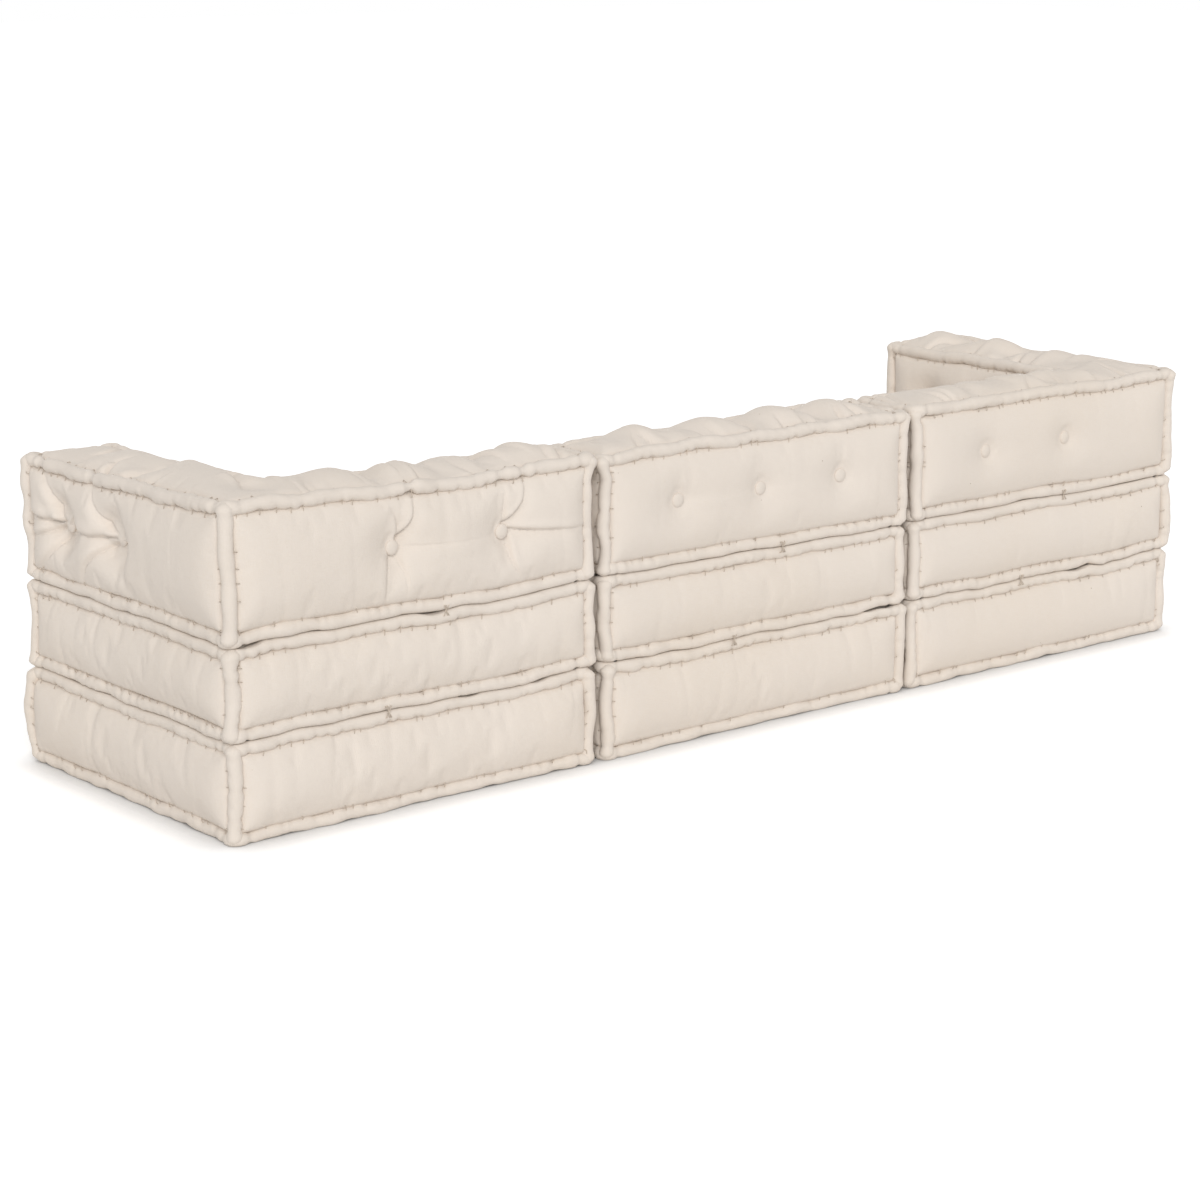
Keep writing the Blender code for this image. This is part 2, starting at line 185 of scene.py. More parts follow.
def canvas(name, tint=1.0):
    # threads: a sine along times a sine across; slubs: noise stretched along each of the two threads
    look = canvasLook
    material = bpy.data.materials.new(name)
    tree = emptyTree(material)
    uv = tree.node("ShaderNodeUVMap", {"uv_map": "weave"})
    place = tree.node("ShaderNodeTexCoord", output="Object")
    along = tree.node("ShaderNodeSeparateXYZ", inputs={0: uv})
    turn = 2 * math.pi / look["threadPitch"]
    weave = (along * turn).sine() * (along.beside(1) * turn).sine()
    coarse, fine = look["slubScales"]
    slubs = []
    for scale in ((coarse, fine, 1.0), (fine, coarse, 1.0)):
        stretched = tree.node("ShaderNodeMapping", inputs={"Vector": uv, "Scale": scale})
        slubs.append(tree.noise(stretched, 1.0, look["slubDetail"]))
    slub = slubs[0] + slubs[1] - 1.0
    mottle = tree.noise(place, look["mottleScale"], look["detail"])
    crumple = tree.noise(place, look["crumpleScale"], look["detail"])
    speck = tree.node("ShaderNodeTexVoronoi", inputs={"Vector": place, "Scale": look["fleckScale"]})
    chance = tree.node("ShaderNodeSeparateColor", inputs={0: speck.beside(1)})
    fleck = (speck < look["fleckRadius"]) * (chance > look["fleckRarity"])
    body = [channel * tint for channel in look["colour"]] + [1.0]
    aged = (mottle - look["agedFrom"]) * look["agedShare"] + slub * look["slubShare"]
    shade = tree.mixed(aged, body, look["aged"])
    shade = tree.mixed(fleck * look["fleckShare"], shade, look["fleck"])
    height = weave * look["weaveHeight"] + slub * look["slubHeight"] + crumple * look["crumpleHeight"]
    bump = tree.node("ShaderNodeBump", inputs={"Strength": look["bump"], "Distance": 1.0, "Height": height})
    cloth = tree.node("ShaderNodeBsdfPrincipled", inputs={
        "Base Color": shade,
        "Roughness": look["roughness"],
        "Sheen Weight": look["sheen"],
        "Specular IOR Level": look["specular"],
        "Normal": bump,
    })
    tree.node("ShaderNodeOutputMaterial", inputs={"Surface": cloth})
    return material


twineLook = {
    "light": (0.66, 0.57, 0.48, 1.0),
    "dark": (0.50, 0.41, 0.32, 1.0),
    "darkShare": 0.4,
    "darkSwing": 0.3,
    "plyTurn": 4000.0,
    "bump": 0.5,
    "bumpDepth": 0.0004,
    "roughness": 0.8,
}


def twine(name):
    # two plies: a sine of the way along plus the way around
    look = twineLook
    material = bpy.data.materials.new(name)
    tree = emptyTree(material)
    uv = tree.node("ShaderNodeUVMap", {"uv_map": "weave"})
    along = tree.node("ShaderNodeSeparateXYZ", inputs={0: uv})
    ply = ((along + along.beside(1)) * look["plyTurn"]).sine()
    bump = tree.node("ShaderNodeBump", inputs={
        "Strength": look["bump"],
        "Distance": look["bumpDepth"],
        "Height": ply,
    })
    thread = tree.node("ShaderNodeBsdfPrincipled", inputs={
        "Base Color": tree.mixed(ply * look["darkSwing"] + look["darkShare"], look["light"], look["dark"]),
        "Roughness": look["roughness"],
        "Normal": bump,
    })
    tree.node("ShaderNodeOutputMaterial", inputs={"Surface": thread})
    return material


finishes = {
    "canvas": canvas("natural_canvas"),
    "roll": canvas("rolled_canvas", 0.985),
    "button": canvas("button_canvas", 0.97),
    "twine": twine("tufting_twine"),
}
print("finishes made:", ", ".join(finishes))


# meshes from arrays

def makePiece(name, points, faceSets, uvSets, finish):
    # faceSets: arrays of corner indices, all rows of one array with the same count;
    # uvSets match them corner by corner
    mesh = bpy.data.meshes.new(name)
    corners = np.concatenate([faces.ravel() for faces in faceSets]).astype(np.int32)
    counts = np.concatenate([np.full(len(faces), faces.shape[1]) for faces in faceSets]).astype(np.int32)
    starts = np.concatenate([[0], np.cumsum(counts)[:-1]]).astype(np.int32)
    uv = np.concatenate([uv.reshape(-1, 2) for uv in uvSets]).astype(np.float32)
    mesh.vertices.add(len(points))
    mesh.vertices.foreach_set("co", points.astype(np.float32).ravel())
    mesh.loops.add(len(corners))
    mesh.loops.foreach_set("vertex_index", corners)
    mesh.polygons.add(len(counts))
    mesh.polygons.foreach_set("loop_start", starts)
    mesh.polygons.foreach_set("loop_total", counts)
    mesh.update(calc_edges=True)
    mesh.uv_layers.new(name="weave").data.foreach_set("uv", uv.ravel())
    mesh.polygons.foreach_set("use_smooth", np.ones(len(counts), bool))
    mesh.validate()
    mesh.materials.append(finish)
    piece = bpy.data.objects.new(name, mesh)
    scene.collection.objects.link(piece)
    return piece


def gathered(patches):
    # points, quads, fans and uvs of several patches as one, faces counted on from patch to patch
    starts = np.cumsum([0] + [len(patch["points"]) for patch in patches])
    faceSets, uvSets = [], []
    for faces, uv in (("quads", "quadUv"), ("fans", "fanUv")):
        having = [(patch, start) for patch, start in zip(patches, starts) if faces in patch]
        faceSets.append(np.concatenate([patch[faces] + start for patch, start in having]))
        uvSets.append(np.concatenate([patch[uv] for patch, _ in having]))
    return np.concatenate([patch["points"] for patch in patches]), faceSets, uvSets


def ringAngles(sides):
    return np.linspace(0, 2 * np.pi, sides, endpoint=False)


def ringQuads(index):
    # cells between the rows of an index grid, each row a closed ring
    ahead = np.roll(index, -1, axis=1)
    return np.stack([index[:-1], ahead[:-1], ahead[1:], index[1:]], axis=-1).reshape(-1, 4)


def ringFan(ring, pole):
    # triangles from a closed ring to one point
    return np.stack([ring, np.roll(ring, -1), np.full(len(ring), pole)], axis=-1)


def ripple(points, seed, length, count=6, gain=1.8):
    # mean of a few plane waves, each with its own heading, phase and a wavelength near length
    draw = np.random.default_rng(seed)
    heading = draw.normal(size=(count, 3))
    heading /= np.linalg.norm(heading, axis=1, keepdims=True)
    pitch = 2 * np.pi / (length * draw.uniform(0.6, 1.5, count))
    phase = draw.uniform(0, 2 * np.pi, count)
    return np.sin(points @ (heading * pitch[:, None]).T + phase).mean(axis=1) * gain


def eased(share):
    # a rise that starts steep and ends level: one less the square of what is left
    return 1 - (1 - np.clip(share, 0, 1)) ** 2


def bell(away, reach):
    # a bell curve: e to the power of minus the square of distance over reach
    return np.exp(-((away / reach) ** 2))


# pads: outlines from the frame, covers as grids of panels

pads = {
    "gridStep": 0.0075,
    "edgeInset": 0.015,  # from the outside of the rolled edge to the seam
    "stitchInset": 0.003,
    "lip": 0.0042,
    "shoulder": 0.0060,
    "shoulderLength": 0.0075,
    "swellLength": 0.054,
    "flatLength": 0.040,
    "sideReach": 0.0080,
    "restReach": -0.0008,
    "seatCrown": 0.014,
    "crownLength": 0.081,
    "backCrown": 0.011,
    "puff": 0.009,
    "puffLength": 0.11,
    "pucker": 0.0006,
    "puckerLength": 0.055,
    "puckerReach": 0.025,
    "startShare": 0.92,
    "moveCap": 0.010,
    "armWidth": 0.170,
    "backDepth": 0.150,
    "capShares": np.array([1.0, 0.985, 0.93, 0.70, 0.35]),
}

tufting = {
    "pinRadius": 0.0142,
    "spread": 0.034,
    "seatSink": 0.017,
    "frontSink": 0.018,
    "nest": 0.0052,
    "nestReach": 0.0080,
    "groove": 0.012,
    "grooveWidth": 0.020,
    "grooveLean": 0.16,
    "grooveShift": 0.006,
    "grooveDepths": (0.6, 1.25),
    "tieGap": 0.028,
    "tieReach": 0.028,
    "tieHeld": 0.6,
    # tied points of an L: in from the arm's side or the inner end, in from the rear, and depth
    "armTie": (0.100, 0.070, 0.013),
    "endTie": (0.058, 0.100, 0.010),
}

modules = [
    {"name": "left", "hand": -1, "corner": True, "seed": 31, "backSink": 0.007, "armSink": 0.012,
     "surplus": 0.0, "wrinkle": 0.0017, "crease": 0.0080},
    {"name": "middle", "hand": 1, "corner": False, "seed": 57, "backSink": 0.009, "armSink": 0.0,
     "surplus": 0.002, "wrinkle": 0.0020, "crease": 0.0085},
    {"name": "right", "hand": 1, "corner": True, "seed": 83, "backSink": 0.014, "armSink": 0.034,
     "surplus": 0.004, "wrinkle": 0.0030, "crease": 0.0105},
]


def gridLines(low, high):
    # lines across a panel: its edge, its stitch line, even steps, and the same at the far end
    steps = max(2, round((high - low) / pads["gridStep"]))
    inner = np.linspace(low + pads["stitchInset"], high - pads["stitchInset"], steps)
    return np.concatenate([[low], inner, [high]])


def bentLines(low, corner, high):
    # the same with the inner corner of an L on the way, and a stitch line just past it
    before = gridLines(low, corner)[:-2]
    return np.concatenate([before, [corner], gridLines(corner, high)[1:]])


def gridPanel(axis, sign, plane, uLines, vLines):
    # flat grid on one plane: u runs along the next axis and v along the one after it
    u, v = np.meshgrid(uLines, vLines, indexing="ij")
    flat = np.empty(u.shape + (3,))
    flat[..., axis] = plane
    flat[..., (axis + 1) % 3] = u
    flat[..., (axis + 2) % 3] = v
    return {"axis": axis, "sign": sign, "plane": plane, "flat": flat, "u": u, "v": v}


def gridQuads(shape, sign):
    # corner indices of the cells of a grid, turned so that they face along sign
    index = np.arange(shape[0] * shape[1]).reshape(shape)
    cells = [index[:-1, :-1], index[1:, :-1], index[1:, 1:], index[:-1, 1:]]
    return np.stack(cells, axis=-1).reshape(-1, 4)[:, ::sign]


def parted(lines, stop):
    # the lines up to a stop and from it on, or all of them where there is no stop
    if stop is None:
        return [lines]
    return [lines[lines < stop + hair], lines[lines > stop - hair]]


def padPanels(pad):
    # upright panels of the outline and, where it shows, the top; an L is parted along its inner corner
    x, y, z = pad["lines"]
    xArm, yBack = pad["notch"] or (None, None)
    xParts, yParts = parted(x, xArm), parted(y, yBack)
    panels = [gridPanel(1, 1, y[-1], z, part) for part in xParts]
    panels += [gridPanel(0, 1, x[-1], part, z) for part in yParts]
    panels += [gridPanel(1, -1, y[0], z, xParts[-1]), gridPanel(0, -1, x[0], yParts[-1], z)]
    if pad["notch"]:
        panels += [gridPanel(1, -1, yBack, z, xParts[0]), gridPanel(0, -1, xArm, yParts[0], z)]
    for panel in panels:
        sideReach(pad, panel)
    if pad["kind"] != "base":
        for xPart in xParts:
            for yPart in yParts:
                if pad["notch"] is None or xPart is xParts[-1] or yPart is yParts[-1]:
                    panels.append(gridPanel(2, 1, z[-1], xPart, yPart))
                    topReach(pad, panels[-1])
    return panels


def softLeast(gaps, power=2.5, least=1e-4):
    # smooth least of several distances: the sum of their negative powers, drawn back out
    kept = np.maximum(np.stack(np.broadcast_arrays(*gaps)), least)
    return (kept ** -power).sum(axis=0) ** (-1 / power)


def lipRise(panel):
    # from nothing at the seam to the lip's full height at the stitch line
    return pads["lip"] * np.clip(panel["seam"] / pads["stitchInset"], 0, 1)


def sideReach(pad, panel):
    # a lip up to the stitch line, then a swell that is steep at the seam and level after swellLength,
    # or one that grows slowly, as a square, where the side faces the next module
    axis, sign = panel["axis"], panel["sign"]
    z = pad["lines"][2]
    first, last = pad["lines"][1 - axis][[0, -1]]
    here, height = panel["flat"][..., 1 - axis], panel["flat"][..., 2]
    folded = False  # at the inner corner of an L, where there is no seam
    if pad["notch"] and sign < 0:
        corner = pad["notch"][1 - axis]
        folded = abs(panel["plane"] - pad["notch"][axis]) < hair
        first, last = (first, corner) if folded else (corner, last)
    gaps = [height - z[0], z[-1] - height, here - first, last - here]
    panel["seam"] = np.minimum.reduce(gaps[:3] if folded else gaps)
    inner = softLeast(gaps) - pads["stitchInset"]
    swell = eased(inner / pads["swellLength"])
    if axis == 0 and (sign < 0 and not folded or not pad["module"]["corner"]):
        swell = np.clip(inner / pads["flatLength"], 0, 1) ** 2
    panel["reach"] = lipRise(panel) + (pads["edgeInset"] + pads["sideReach"] - pads["lip"]) * swell


def topReach(pad, panel):
    # the top of a seat is crowned where it is free, the top of a back all along, with puffs and ties
    x, y, _ = pad["lines"]
    u, v = panel["u"], panel["v"]
    gaps = [u - x[0], x[-1] - u, v - y[0], y[-1] - v]
    if pad["notch"]:
        xArm, yBack = pad["notch"]
        gaps.append(np.hypot(np.clip(u - xArm, 0, None), np.clip(v - yBack, 0, None)))
    panel["seam"] = np.minimum.reduce(gaps)
    share = eased((softLeast(gaps) - pads["stitchInset"]) / pads["swellLength"])
    filled = pads["edgeInset"] - pads["lip"]
    if pad["kind"] == "seat":
        free = np.minimum.reduce([panel["seam"], pad["freeRear"] - v, pad["freeSide"] - u])
        crown = pads["seatCrown"] * eased(free / pads["crownLength"])
        panel["reach"] = lipRise(panel) + (filled + pads["restReach"]) * share + crown
        panel["held"] = free < 0
    else:
        puff = ripple(panel["flat"].reshape(-1, 3), pad["seed"] + 21, pads["puffLength"]).reshape(u.shape)
        puffed = filled + pads["backCrown"] + pads["puff"] * puff
        panel["reach"] = lipRise(panel) + puffed * share
        tieTop(pad, panel, share)


def tieTop(pad, panel, share):
    # a groove over each tie between two buttons, tied at two points, and a dip at each point tied alone
    u, v = panel["u"], panel["v"]
    pinned = tufting["tieHeld"] * tufting["pinRadius"]
    lean, shift = tufting["grooveLean"], tufting["grooveShift"]
    draw = np.random.default_rng(pad["seed"])
    panel["held"] = np.zeros(u.shape, bool)
    for axis, place, middle in pad["grooves"]:
        along, across = (v, u) if axis == 0 else (u, v)
        aside = along - middle
        skew = place + draw.uniform(-lean, lean) * aside + draw.uniform(-shift, shift)
        deep = tufting["groove"] * draw.uniform(*tufting["grooveDepths"])
        depth = deep * bell(across - skew, tufting["grooveWidth"]) * share
        panel["reach"] -= np.where(np.abs(aside) < pads["armWidth"] / 2, depth, 0.0)
        panel["held"] |= np.hypot(across - skew, np.abs(aside) - tufting["tieGap"]) < pinned
    for tieU, tieV, sink in pad["ties"]:
        away = np.hypot(u - tieU, v - tieV)
        panel["reach"] -= sink * bell(away, tufting["tieReach"])
        panel["held"] |= away < pinned


def joined(flats):
    # one index for each place: points of several panels that share a place become one
    places = np.concatenate([flat.reshape(-1, 3) for flat in flats])
    _, where = np.unique(np.round(places / hair).astype(np.int64), axis=0, return_inverse=True)
    return np.split(where.ravel(), np.cumsum([flat.size // 3 for flat in flats])[:-1])


def tuftsOn(pad, panel):
    # the tufts on a panel, each with the distance of every grid point from it
    for spot in pad["tufts"]:
        if (spot["axis"], spot["sign"]) == (panel["axis"], panel["sign"]):
            yield spot, np.hypot(panel["u"] - spot["u"], panel["v"] - spot["v"])


def padCover(pad):
    # sews the panels together: start shape, full shape and held points for the cloth
    panels = padPanels(pad)
    for panel, where in zip(panels, joined([panel["flat"] for panel in panels])):
        panel["where"] = where
    count = 1 + max(panel["where"].max() for panel in panels)
    start, full, pin = np.zeros((count, 3)), np.zeros((count, 3)), np.zeros(count, bool)
    for panel in panels:
        start[panel["where"]] = full[panel["where"]] = panel["flat"].reshape(-1, 3)
    quadSets = []
    for panel in panels:
        axis, sign, seam, reach = panel["axis"], panel["sign"], panel["seam"], panel["reach"]
        pinned = seam < pads["stitchInset"] * 1.01
        pinned |= panel.get("held", False)
        gather = ripple(panel["flat"].reshape(-1, 3), pad["seed"] + 5, pads["puckerLength"])
        gather = pads["pucker"] * gather.reshape(reach.shape) * np.exp(-seam / pads["puckerReach"])
        reach += np.where(seam > 0.5 * pads["stitchInset"], gather, 0.0)
        for spot, away in tuftsOn(pad, panel):
            beyond = np.clip(away - tufting["pinRadius"], 0, None)
            reach -= spot["sink"] * bell(beyond, tufting["spread"])
            reach -= tufting["nest"] * bell(beyond, tufting["nestReach"])
            pinned |= away < tufting["pinRadius"]
        bare = lipRise(panel)
        begun = np.where(pinned, reach, bare + pads["startShare"] * (reach - bare))
        further = np.maximum if sign > 0 else np.minimum
        further.at(start[:, axis], panel["where"], panel["plane"] + sign * begun.ravel())
        further.at(full[:, axis], panel["where"], panel["plane"] + sign * reach.ravel())
        np.logical_or.at(pin, panel["where"], pinned.ravel())
        quadSets.append(panel["where"][gridQuads(reach.shape, sign)])
    return {"panels": panels, "start": start, "full": full, "pin": pin, "faces": np.concatenate(quadSets)}


def padCorners(pad, inset):
    # corners of a pad's outline drawn in by inset, the inner corner of an L last
    low, high = pad["low"] + inset, pad["high"] - inset
    outer = [(high[0], low[1]), (high[0], high[1]), (low[0], high[1])]
    if pad["notch"]:
        xArm, yBack = np.array(pad["notch"]) - pads["edgeInset"] + inset
        return [(xArm, low[1])] + outer + [(low[0], yBack), (xArm, yBack)]
    return [(low[0], low[1])] + outer


def outlineSteps(pad, x, y):
    # points where the lines of the panels meet the outline, all the way round
    corners = padCorners(pad, pads["edgeInset"])
    runs = []
    for (x0, y0), (x1, y1) in zip(corners, corners[1:] + corners[:1]):
        alongX = abs(y1 - y0) < hair
        steps, fixed = (x, y0) if alongX else (y, x0)
        first, last = (x0, x1) if alongX else (y0, y1)
        steps = steps[(steps > min(first, last) - hair) & (steps < max(first, last) + hair)]
        steps = steps[:-1] if first < last else steps[:0:-1]
        still = np.full(len(steps), fixed)
        runs.append(np.stack([steps, still] if alongX else [still, steps], axis=1))
    return np.concatenate(runs)


def capPatch(pad, x, y, level, sign):
    # hidden faces: the outline drawn in towards one point in a few rings, flat where it rests
    loop = outlineSteps(pad, x, y)
    xNear, yNear = pad["notch"] or (x[0], y[0])
    middle = np.array([(xNear + x[-1]) / 2, (yNear + y[-1]) / 2])
    shares = pads["capShares"]
    drop = pads["edgeInset"] + pads["restReach"]
    rings = np.empty((len(shares), len(loop), 3))
    rings[..., :2] = middle + shares[:, None, None] * (loop - middle)
    rings[..., 2] = level + sign * drop
    rings[0, :, 2] = level
    rings[1, :, 2] = level + sign * pads["lip"]
    points = np.concatenate([rings.reshape(-1, 3), [[*middle, level + sign * drop]]])
    index = np.arange(rings.size // 3).reshape(rings.shape[:2])
    quads = ringQuads(index)[:, ::sign]
    fans = ringFan(index[-1], index.size)[:, ::sign]
    uv = points[:, :2]
    patch = {"flat": points, "points": points}
    return patch | {"quads": quads, "quadUv": uv[quads], "fans": fans, "fanUv": uv[fans]}


def modulePads(module):
    # outlines of the three pads of a module, in the module's own place with its arm towards +x
    made = []
    inset = pads["edgeInset"]
    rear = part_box(f"{module['name']}_back_edge_roll")[1].y
    for number, kind in enumerate(("base", "seat", "back")):
        low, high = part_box(f"{module['name']}_{kind}_edge_roll")
        half = (high.x - low.x) / 2
        module["offset"] = (high.x + low.x) / 2
        armFace = half - pads["armWidth"]
        backFace = high.y - pads["backDepth"]
        pad = {"kind": kind, "number": number, "module": module, "name": f"{module['name']}_{kind}"}
        pad["seed"] = module["seed"] + 7 * number
        pad["low"] = np.array([-half, low.y, low.z])
        pad["high"] = np.array([half, high.y, high.z])
        pad["freeSide"] = armFace if module["corner"] else half
        pad["freeRear"] = rear - pads["backDepth"]
        pad["notch"] = None
        pad["ties"] = []
        x = gridLines(-half + inset, half - inset)
        y = gridLines(low.y + inset, high.y - inset)
        z = gridLines(low.z + inset, high.z - inset)
        if kind == "back" and module["corner"]:
            pad["notch"] = (armFace + inset, backFace + inset)
            x = bentLines(-half + inset, armFace + inset, half - inset)
            y = bentLines(low.y + inset, backFace + inset, high.y - inset)
            side, back, sink = tufting["armTie"]
            pad["ties"].append((half - side, high.y - back, sink))
            side, back, sink = tufting["endTie"]
            pad["ties"].append((-half + side, high.y - back, sink))
        pad["lines"] = (x, y, z)
        made.append(pad)
    return made


def tieNames(pad):
    return sorted(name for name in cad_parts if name.startswith(f"{pad['name']}_tie_"))


def addTufts(pad):
    # places of the ties, read from the frame: seats are tied downwards, backs and arms straight through
    module = pad["module"]
    found, pad["grooves"] = [], []
    for name in tieNames(pad):
        low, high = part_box(name)
        size, middle = high - low, (high + low) / 2
        x = (middle.x - module["offset"]) * module["hand"]
        axis = max(range(3), key=lambda k: size[k])
        if axis == 2:
            found.append((2, 1, x, middle.y, tufting["seatSink"]))
        elif axis == 1:
            found.append((1, 1, middle.z, x, module["backSink"]))
            found.append((1, -1, middle.z, x, tufting["frontSink"]))
            pad["grooves"].append((0, x, middle.y))
        else:
            found.append((0, 1, middle.y, middle.z, module["armSink"]))
            found.append((0, -1, middle.y, middle.z, tufting["frontSink"]))
            pad["grooves"].append((1, middle.y, x))
    pad["tufts"] = [dict(zip(("axis", "sign", "u", "v", "sink"), spot)) for spot in found]


allPads = [pad for module in modules for pad in modulePads(module)]
for pad in allPads:
    addTufts(pad)
    pad["cover"] = padCover(pad)
print("covers cut:", sum(len(pad["cover"]["start"]) for pad in allPads), "points")


# swelling the covers as cloth

swelling = {
    "frames": 20,
    "noise": 0.06,
    "noiseLengths": (0.07, 0.14),
    "cloth": {
        "quality": 5,
        "pin_stiffness": 1.0,
        "use_pressure": True,
        "uniform_pressure_force": 4.0,
        "tension_stiffness": 20.0,
        "compression_stiffness": 10.0,
        "shear_stiffness": 6.0,
        "bending_stiffness": 5.0,
    },
}


def startSwelling(pad):
    # the start shape, nudged a little by noise so that the cloth doesn't swell evenly
    cover = pad["cover"]
    start, seed = cover["start"], pad["seed"] + 3
    noise = sum(ripple(start, seed + k, length) for k, length in enumerate(swelling["noiseLengths"]))
    nudge = (cover["full"] - start) * swelling["noise"] * noise[:, None]
    flat = np.zeros(cover["faces"].shape + (2,))
    piece = makePiece(f"{pad['name']}_sewn", start + nudge, [cover["faces"]], [flat], finishes["canvas"])
    group = piece.vertex_groups.new(name="held")
    group.add(np.flatnonzero(cover["pin"]).tolist(), 1.0, "REPLACE")
    swell = piece.modifiers.new("Swell", "CLOTH")
    for key, value in swelling["cloth"].items():
        setattr(swell.settings, key, value)
    swell.settings.vertex_group_mass = group.name
    swell.settings.shrink_min = -pad["module"]["surplus"]
    swell.settings.effector_weights.gravity = 0.0
    swell.collision_settings.use_collision = False
    swell.collision_settings.use_self_collision = False
    swell.point_cache.frame_start = 1
    swell.point_cache.frame_end = swelling["frames"]
    return piece


def readPoints(piece):
    depsgraph = bpy.context.evaluated_depsgraph_get()
    mesh = piece.evaluated_get(depsgraph).data
    points = np.empty(len(mesh.vertices) * 3, np.float32)
    mesh.vertices.foreach_get("co", points)
    return points.reshape(-1, 3).astype(float)


def swellCovers():
    sewn = [startSwelling(pad) for pad in allPads]
    for number in range(1, swelling["frames"] + 1):
        scene.frame_set(number)
    for pad, piece in zip(allPads, sewn):
        full = pad["cover"]["full"]
        move = readPoints(piece) - full
        length = np.linalg.norm(move, axis=1, keepdims=True)
        pad["swollen"] = full + move * np.minimum(1.0, pads["moveCap"] / np.maximum(length, 1e-9))
        mean, most = (1000 * length.mean()).round(2), (1000 * length.max()).round(2)
        print(pad["name"], "swelled: mean", mean, "mm, most", most, "mm")
        bpy.data.meshes.remove(piece.data)
    scene.frame_set(1)


swellCovers()


# settling: sides drawn in between corners, a slow waviness, flat where pads meet

settling = {
    "bow": 0.004,
    "sway": 0.0020,
    "swayLength": 0.30,
    "rise": 0.0034,
    "riseLength": 0.30,
    "riseAcross": np.array([1.0, 1.0, 0.3]),
    "floorReach": 0.08,
    "floorGap": 0.0004,
    "shutFrom": 0.80,
    "shutOver": 0.12,
    "touch": 0.0056,
    "topTouch": 0.0030,
    "cornerRound": 0.8,
}

# x, y, reach and height of the places where a back stands higher
lifts = {"right_back": [(0.35, 0.30, 0.22, 0.012)], "left_back": [(0.35, -0.30, 0.16, 0.008)]}

# how far the ends next to another module draw back, at the foot and at the top of the pad
drawnBack = {
    "right_back": {-1: (0.0040, 0.0085)},
    "right_seat": {-1: (0.0034, 0.0040)},
    "right_base": {-1: (0.0020, 0.0026)},
    "middle_back": {1: (0.0040, 0.0080), -1: (0.0032, 0.0052)},
    "middle_seat": {1: (0.0034, 0.0040), -1: (0.0018, 0.0024)},
    "middle_base": {1: (0.0020, 0.0026), -1: (0.0008, 0.0012)},
    "left_back": {-1: (0.0032, 0.0052)},
    "left_seat": {-1: (0.0018, 0.0024)},
    "left_base": {-1: (0.0008, 0.0012)},
}

# how far the corner at the front of the arm's side swells or draws in, along x and y
cornerSwells = {"right_base": (0.006, -0.012), "right_seat": (-0.003, 0.006)}


def settle(points, pad):
    # x and y shift by the bow and a sway of their own, z by a rise that all the pads of a module share;
    # ends next to another module draw back more with height, and meet again at the top
    name, module = pad["name"], pad["module"]
    middle = (pad["low"] + pad["high"]) / 2
    half = (pad["high"] - pad["low"]) / 2
    share = (points - middle) / half
    height = np.clip((share[:, 2] + 1) / 2, 0, 1)
    moved = points.copy()
    for axis in (0, 1):
        between = np.clip(1 - share[:, 1 - axis] ** 2, 0, 1)
        moved[:, axis] -= settling["bow"] * share[:, axis] ** 3 * between
        moved[:, axis] += settling["sway"] * ripple(points, pad["seed"] + 11 + axis, settling["swayLength"])
    wave = ripple(points * settling["riseAcross"], module["seed"] + 13, settling["riseLength"])
    moved[:, 2] += settling["rise"] * np.clip(points[:, 2] / settling["floorReach"], 0, 1) * wave
    for x, y, reach, lift in lifts.get(name, []):
        moved[:, 2] += lift * bell(np.hypot(points[:, 0] - x, points[:, 1] - y), reach) * height
    shut = np.clip((height - settling["shutFrom"]) / settling["shutOver"], 0, 1) * (pad["kind"] == "back")
    for end, (foot, top) in drawnBack[name].items():
        drawn = (foot + (top - foot) * height) * (1 - shut) - settling["topTouch"] * shut
        moved[:, 0] -= end * drawn * np.clip(2 * end * share[:, 0] - 1, 0, 1) ** 2
    if name in cornerSwells:
        corner = np.clip((1 - share[:, 1]) / 2, 0, 1) ** 4 * np.clip((1 + share[:, 0]) / 2, 0, 1) ** 2
        corner *= 1 - settling["cornerRound"] * share[:, 2] ** 2
        moved[:, :2] += corner[:, None] * cornerSwells[name]
    moved[:, 2] = np.maximum(moved[:, 2], settling["floorGap"])
    limit = half[0] + settling["touch"]
    moved[:, 0] = np.clip(moved[:, 0], -limit, None if module["corner"] else limit)
    return moved


def fitted(name, pad, points, faceSets, uvSets, finish, slot):
    # settles a piece with its pad, moves it to the module's place in the sofa and lets it ride there
    module = pad["module"]
    placed = settle(points, pad)
    placed[:, 0] = placed[:, 0] * module["hand"] + module["offset"]
    if module["hand"] < 0:
        faceSets = [faces[:, ::-1] for faces in faceSets]
        uvSets = [uv[:, ::-1] for uv in uvSets]
    piece = makePiece(name, placed, faceSets, uvSets, finishes[finish])
    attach(piece, f"{module['name']}_module")
    return piece


# covers: swollen panels on finer grids, with their folds and wrinkles pressed in

# bands along x, y and z in which folds are fine, so the grid is halved once more
fineBands = {"right_back": ([(-0.225, -0.120), (-0.015, 0.080)], [(-0.270, 0.030)], [(0.350, 0.492)])}
fineGap = 0.003


def inFineBand(lines, pad, axis):
    # which gaps between lines lie in a band of fine folds and are wide enough to be halved once more
    middle = (lines[:-1] + lines[1:]) / 2
    inside = np.zeros(len(middle), bool)
    for low, high in fineBands.get(pad["name"], ([], [], []))[axis]:
        inside |= (middle > low) & (middle < high)
    return inside & (np.diff(lines) > fineGap)


def moreLines(lines, chosen):
    # another line halfway in each chosen gap
    return np.insert(lines, np.flatnonzero(chosen) + 1, ((lines[:-1] + lines[1:]) / 2)[chosen])


